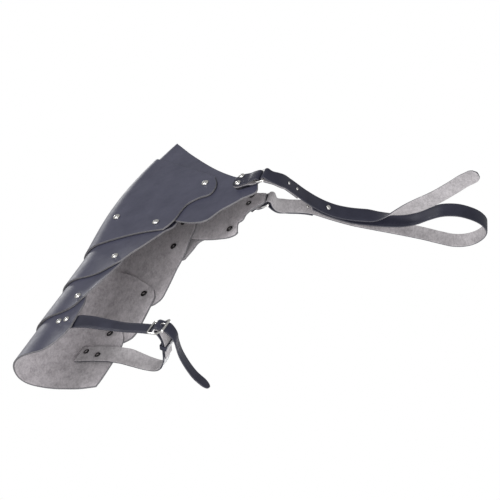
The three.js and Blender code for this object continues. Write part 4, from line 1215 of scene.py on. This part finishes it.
def strap_places(bar, across, start, flat):
    """Places on a chest strap from places in its plane: near its ring the plane turns square to the ring's
    bar and starts at the bar, and further on it joins the common plane. Also gives the directions of the
    strap's width, the distances from the bar, and the axes and angles of the turn."""
    offset = flat - start
    away = np.linalg.norm(offset, axis=1)
    bar_side = across * np.sign(across @ strap_down)
    axis = unit(np.cross(strap_down, bar_side))
    full = math.acos(min(1.0, float(strap_down @ bar_side)))
    angles = full * (1 - smooth_step(away / blend_length))
    axes = np.broadcast_to(axis, (len(flat), 3))
    lift = ((front_bar - bar) @ strap_down) * smooth_step(away / lift_length)
    in_plane = offset[:, :1] * run + offset[:, 1:] * toward
    points = spun(in_plane, axes, angles) + bar + lift[:, None] * strap_down
    sides = spun(np.broadcast_to(strap_down, (len(flat), 3)), axes, angles)
    return points, sides, away, axes, angles


def chest_strap(node, route, bar, across, return_length, tip_length, twist, hair_outside):
    """One part of the chest strap, folded at its ring, with a twist of its free end."""
    flat = folded(route, return_length, chest_step)
    points, sides, away, _, _ = strap_places(bar, across, route[0], flat)
    along = unit(np.gradient(points, axis=0))
    sides = spun(sides, along, twist * smooth_step((away - twist_start) / twist_length))
    widths = pointed(points, chest_width, tip_length)
    dressed(strap(f"{node}_leather", points, widths, sides, hair_outside), node)


chest_strap("chest_strap_billet", billet_route, front_bar, front_across, billet_return, billet_tip,
            free_end_twist, True)
chest_strap("chest_strap_loop", loop_route, back_bar, back_across, loop_return, loop_tip, 0, False)


def strap_fastener(node, line, bar, across, distance, below, head):
    """Rivet through the lays of a chest strap at a distance from its ring."""
    flat = line.at(np.array([float(distance)]))
    tangent = line.tangent(np.array([float(distance)]))
    points, sides, _, axes, angles = strap_places(bar, across, line.points[0], flat)
    along = spun(tangent[:, :1] * run + tangent[:, 1:] * toward, axes, angles)
    normal = unit(np.cross(sides, along))[0]
    half = strap_leather / 2
    rivet(node, points[0] + normal * half, points[0] - normal * (below + half), head)


fold_lay = strap_leather + gap
for number, distance in enumerate(billet_fold_distances, 1):
    strap_fastener(f"rivet_billet_fold_{number}", billet_line, front_bar, front_across, distance, fold_lay,
                   fold_head)
strap_fastener("rivet_loop_fold", loop_line, back_bar, back_across, loop_fold_distance, fold_lay, fold_head)
strap_fastener("chest_stud", billet_line, front_bar, front_across, stud_distance, stud_lay + gap, small_head)


# Floor, light and camera

view_azimuth = math.radians(29.8)
view_elevation = math.radians(-59.4)
camera_right = Vector((math.cos(view_azimuth), math.sin(view_azimuth), 0))
camera_back = Vector((math.sin(view_azimuth) * math.cos(view_elevation),
                      -math.cos(view_azimuth) * math.cos(view_elevation), math.sin(view_elevation)))
camera_up = camera_back.cross(camera_right)
crown_at_neck = Vector((39, 0, 48))
photo_scale = 1.2
photo_middle = 250
neck_in_photo = (176, 144)
# How much nearer to the camera the middle of the object lies than its neck
middle_depth = 140
aim = (crown_at_neck + camera_right * (photo_middle - neck_in_photo[0]) * photo_scale
       - camera_up * (photo_middle - neck_in_photo[1]) * photo_scale + camera_back * middle_depth) * MM
camera_distance = 16.0
sight_length = 60
frame_width = 2 * photo_middle * photo_scale * MM
sensor = 36

camera_data = bpy.data.cameras.new("camera")
camera_data.sensor_width = sensor
camera_data.lens = sensor * camera_distance / frame_width
camera_data.clip_end = sight_length
camera = bpy.data.objects.new("camera", camera_data)
turn_matrix = Matrix((camera_right, camera_up, camera_back)).transposed()
camera.matrix_world = Matrix.Translation(aim + camera_back * camera_distance) @ turn_matrix.to_4x4()
bpy.context.scene.collection.objects.link(camera)
bpy.context.scene.camera = camera

# Floor in metres. It lies below the camera, which looks up at the object from the photograph's side.
floor_height = -19
floor_half = 90
floor_white = (0.93, 0.93, 0.93, 1)
white = (1, 1, 1, 1)
soft_strength = 0.42
floor_mesh = bpy.data.meshes.new("floor")
floor_mesh.from_pydata([(x * floor_half, y * floor_half, floor_height)
                        for x, y in ((-1, -1), (1, -1), (1, 1), (-1, 1))], [], [(0, 1, 2, 3)])
floor = bpy.data.objects.new("floor", floor_mesh)
floor_material, _, _, floor_shader = new_material("pale_floor")
floor_shader.inputs["Base Color"].default_value = floor_white
floor_shader.inputs["Roughness"].default_value = 0.8
floor_shader.inputs["Emission Color"].default_value = white
floor_shader.inputs["Emission Strength"].default_value = soft_strength
floor_mesh.materials.append(floor_material)
bpy.context.scene.collection.objects.link(floor)


def lamp(data, location, from_direction):
    """Lamp at a place, with its light coming from a direction."""
    obj = bpy.data.objects.new(data.name, data)
    obj.location = location
    obj.rotation_euler = from_direction.to_track_quat("Z", "Y").to_euler()
    bpy.context.scene.collection.objects.link(obj)


def area_light(name, location, size, power):
    """Square lamp at a place, facing the aim."""
    data = bpy.data.lights.new(name, "AREA")
    data.size = size
    data.energy = power
    lamp(data, location, location - aim)


def from_aim(right, up, back):
    """Place at an offset from the aim in the camera's own directions, in metres."""
    return aim + camera_right * right + camera_up * up + camera_back * back


area_light("key", from_aim(-1.5, 1.3, 0.9), size=0.9, power=26)
area_light("fill", from_aim(0.3, -0.6, 2.0), size=1.0, power=26)
area_light("behind", Vector((0.1, 2.1, 0.7)), size=1.4, power=42)

overhead = bpy.data.lights.new("overhead", "SUN")
overhead.energy = 0.15
overhead.angle = math.radians(6)
lamp(overhead, (0, 0, 0), Vector((-0.32, 0.06, 0.945)))

world = bpy.data.worlds.new("studio")
bpy.context.scene.world = world
world.use_nodes = True
world_nodes = world.node_tree.nodes
world_links = world.node_tree.links
background = world_nodes["Background"]
background.inputs["Color"].default_value = white
light_path = world_nodes.new("ShaderNodeLightPath")
strength = world_nodes.new("ShaderNodeMapRange")
strength.inputs["To Min"].default_value = soft_strength
strength.inputs["To Max"].default_value = 1
world_links.new(light_path.outputs["Is Camera Ray"], strength.inputs["Value"])
world_links.new(strength.outputs["Result"], background.inputs["Strength"])
bpy.context.scene.view_settings.view_transform = "Standard"
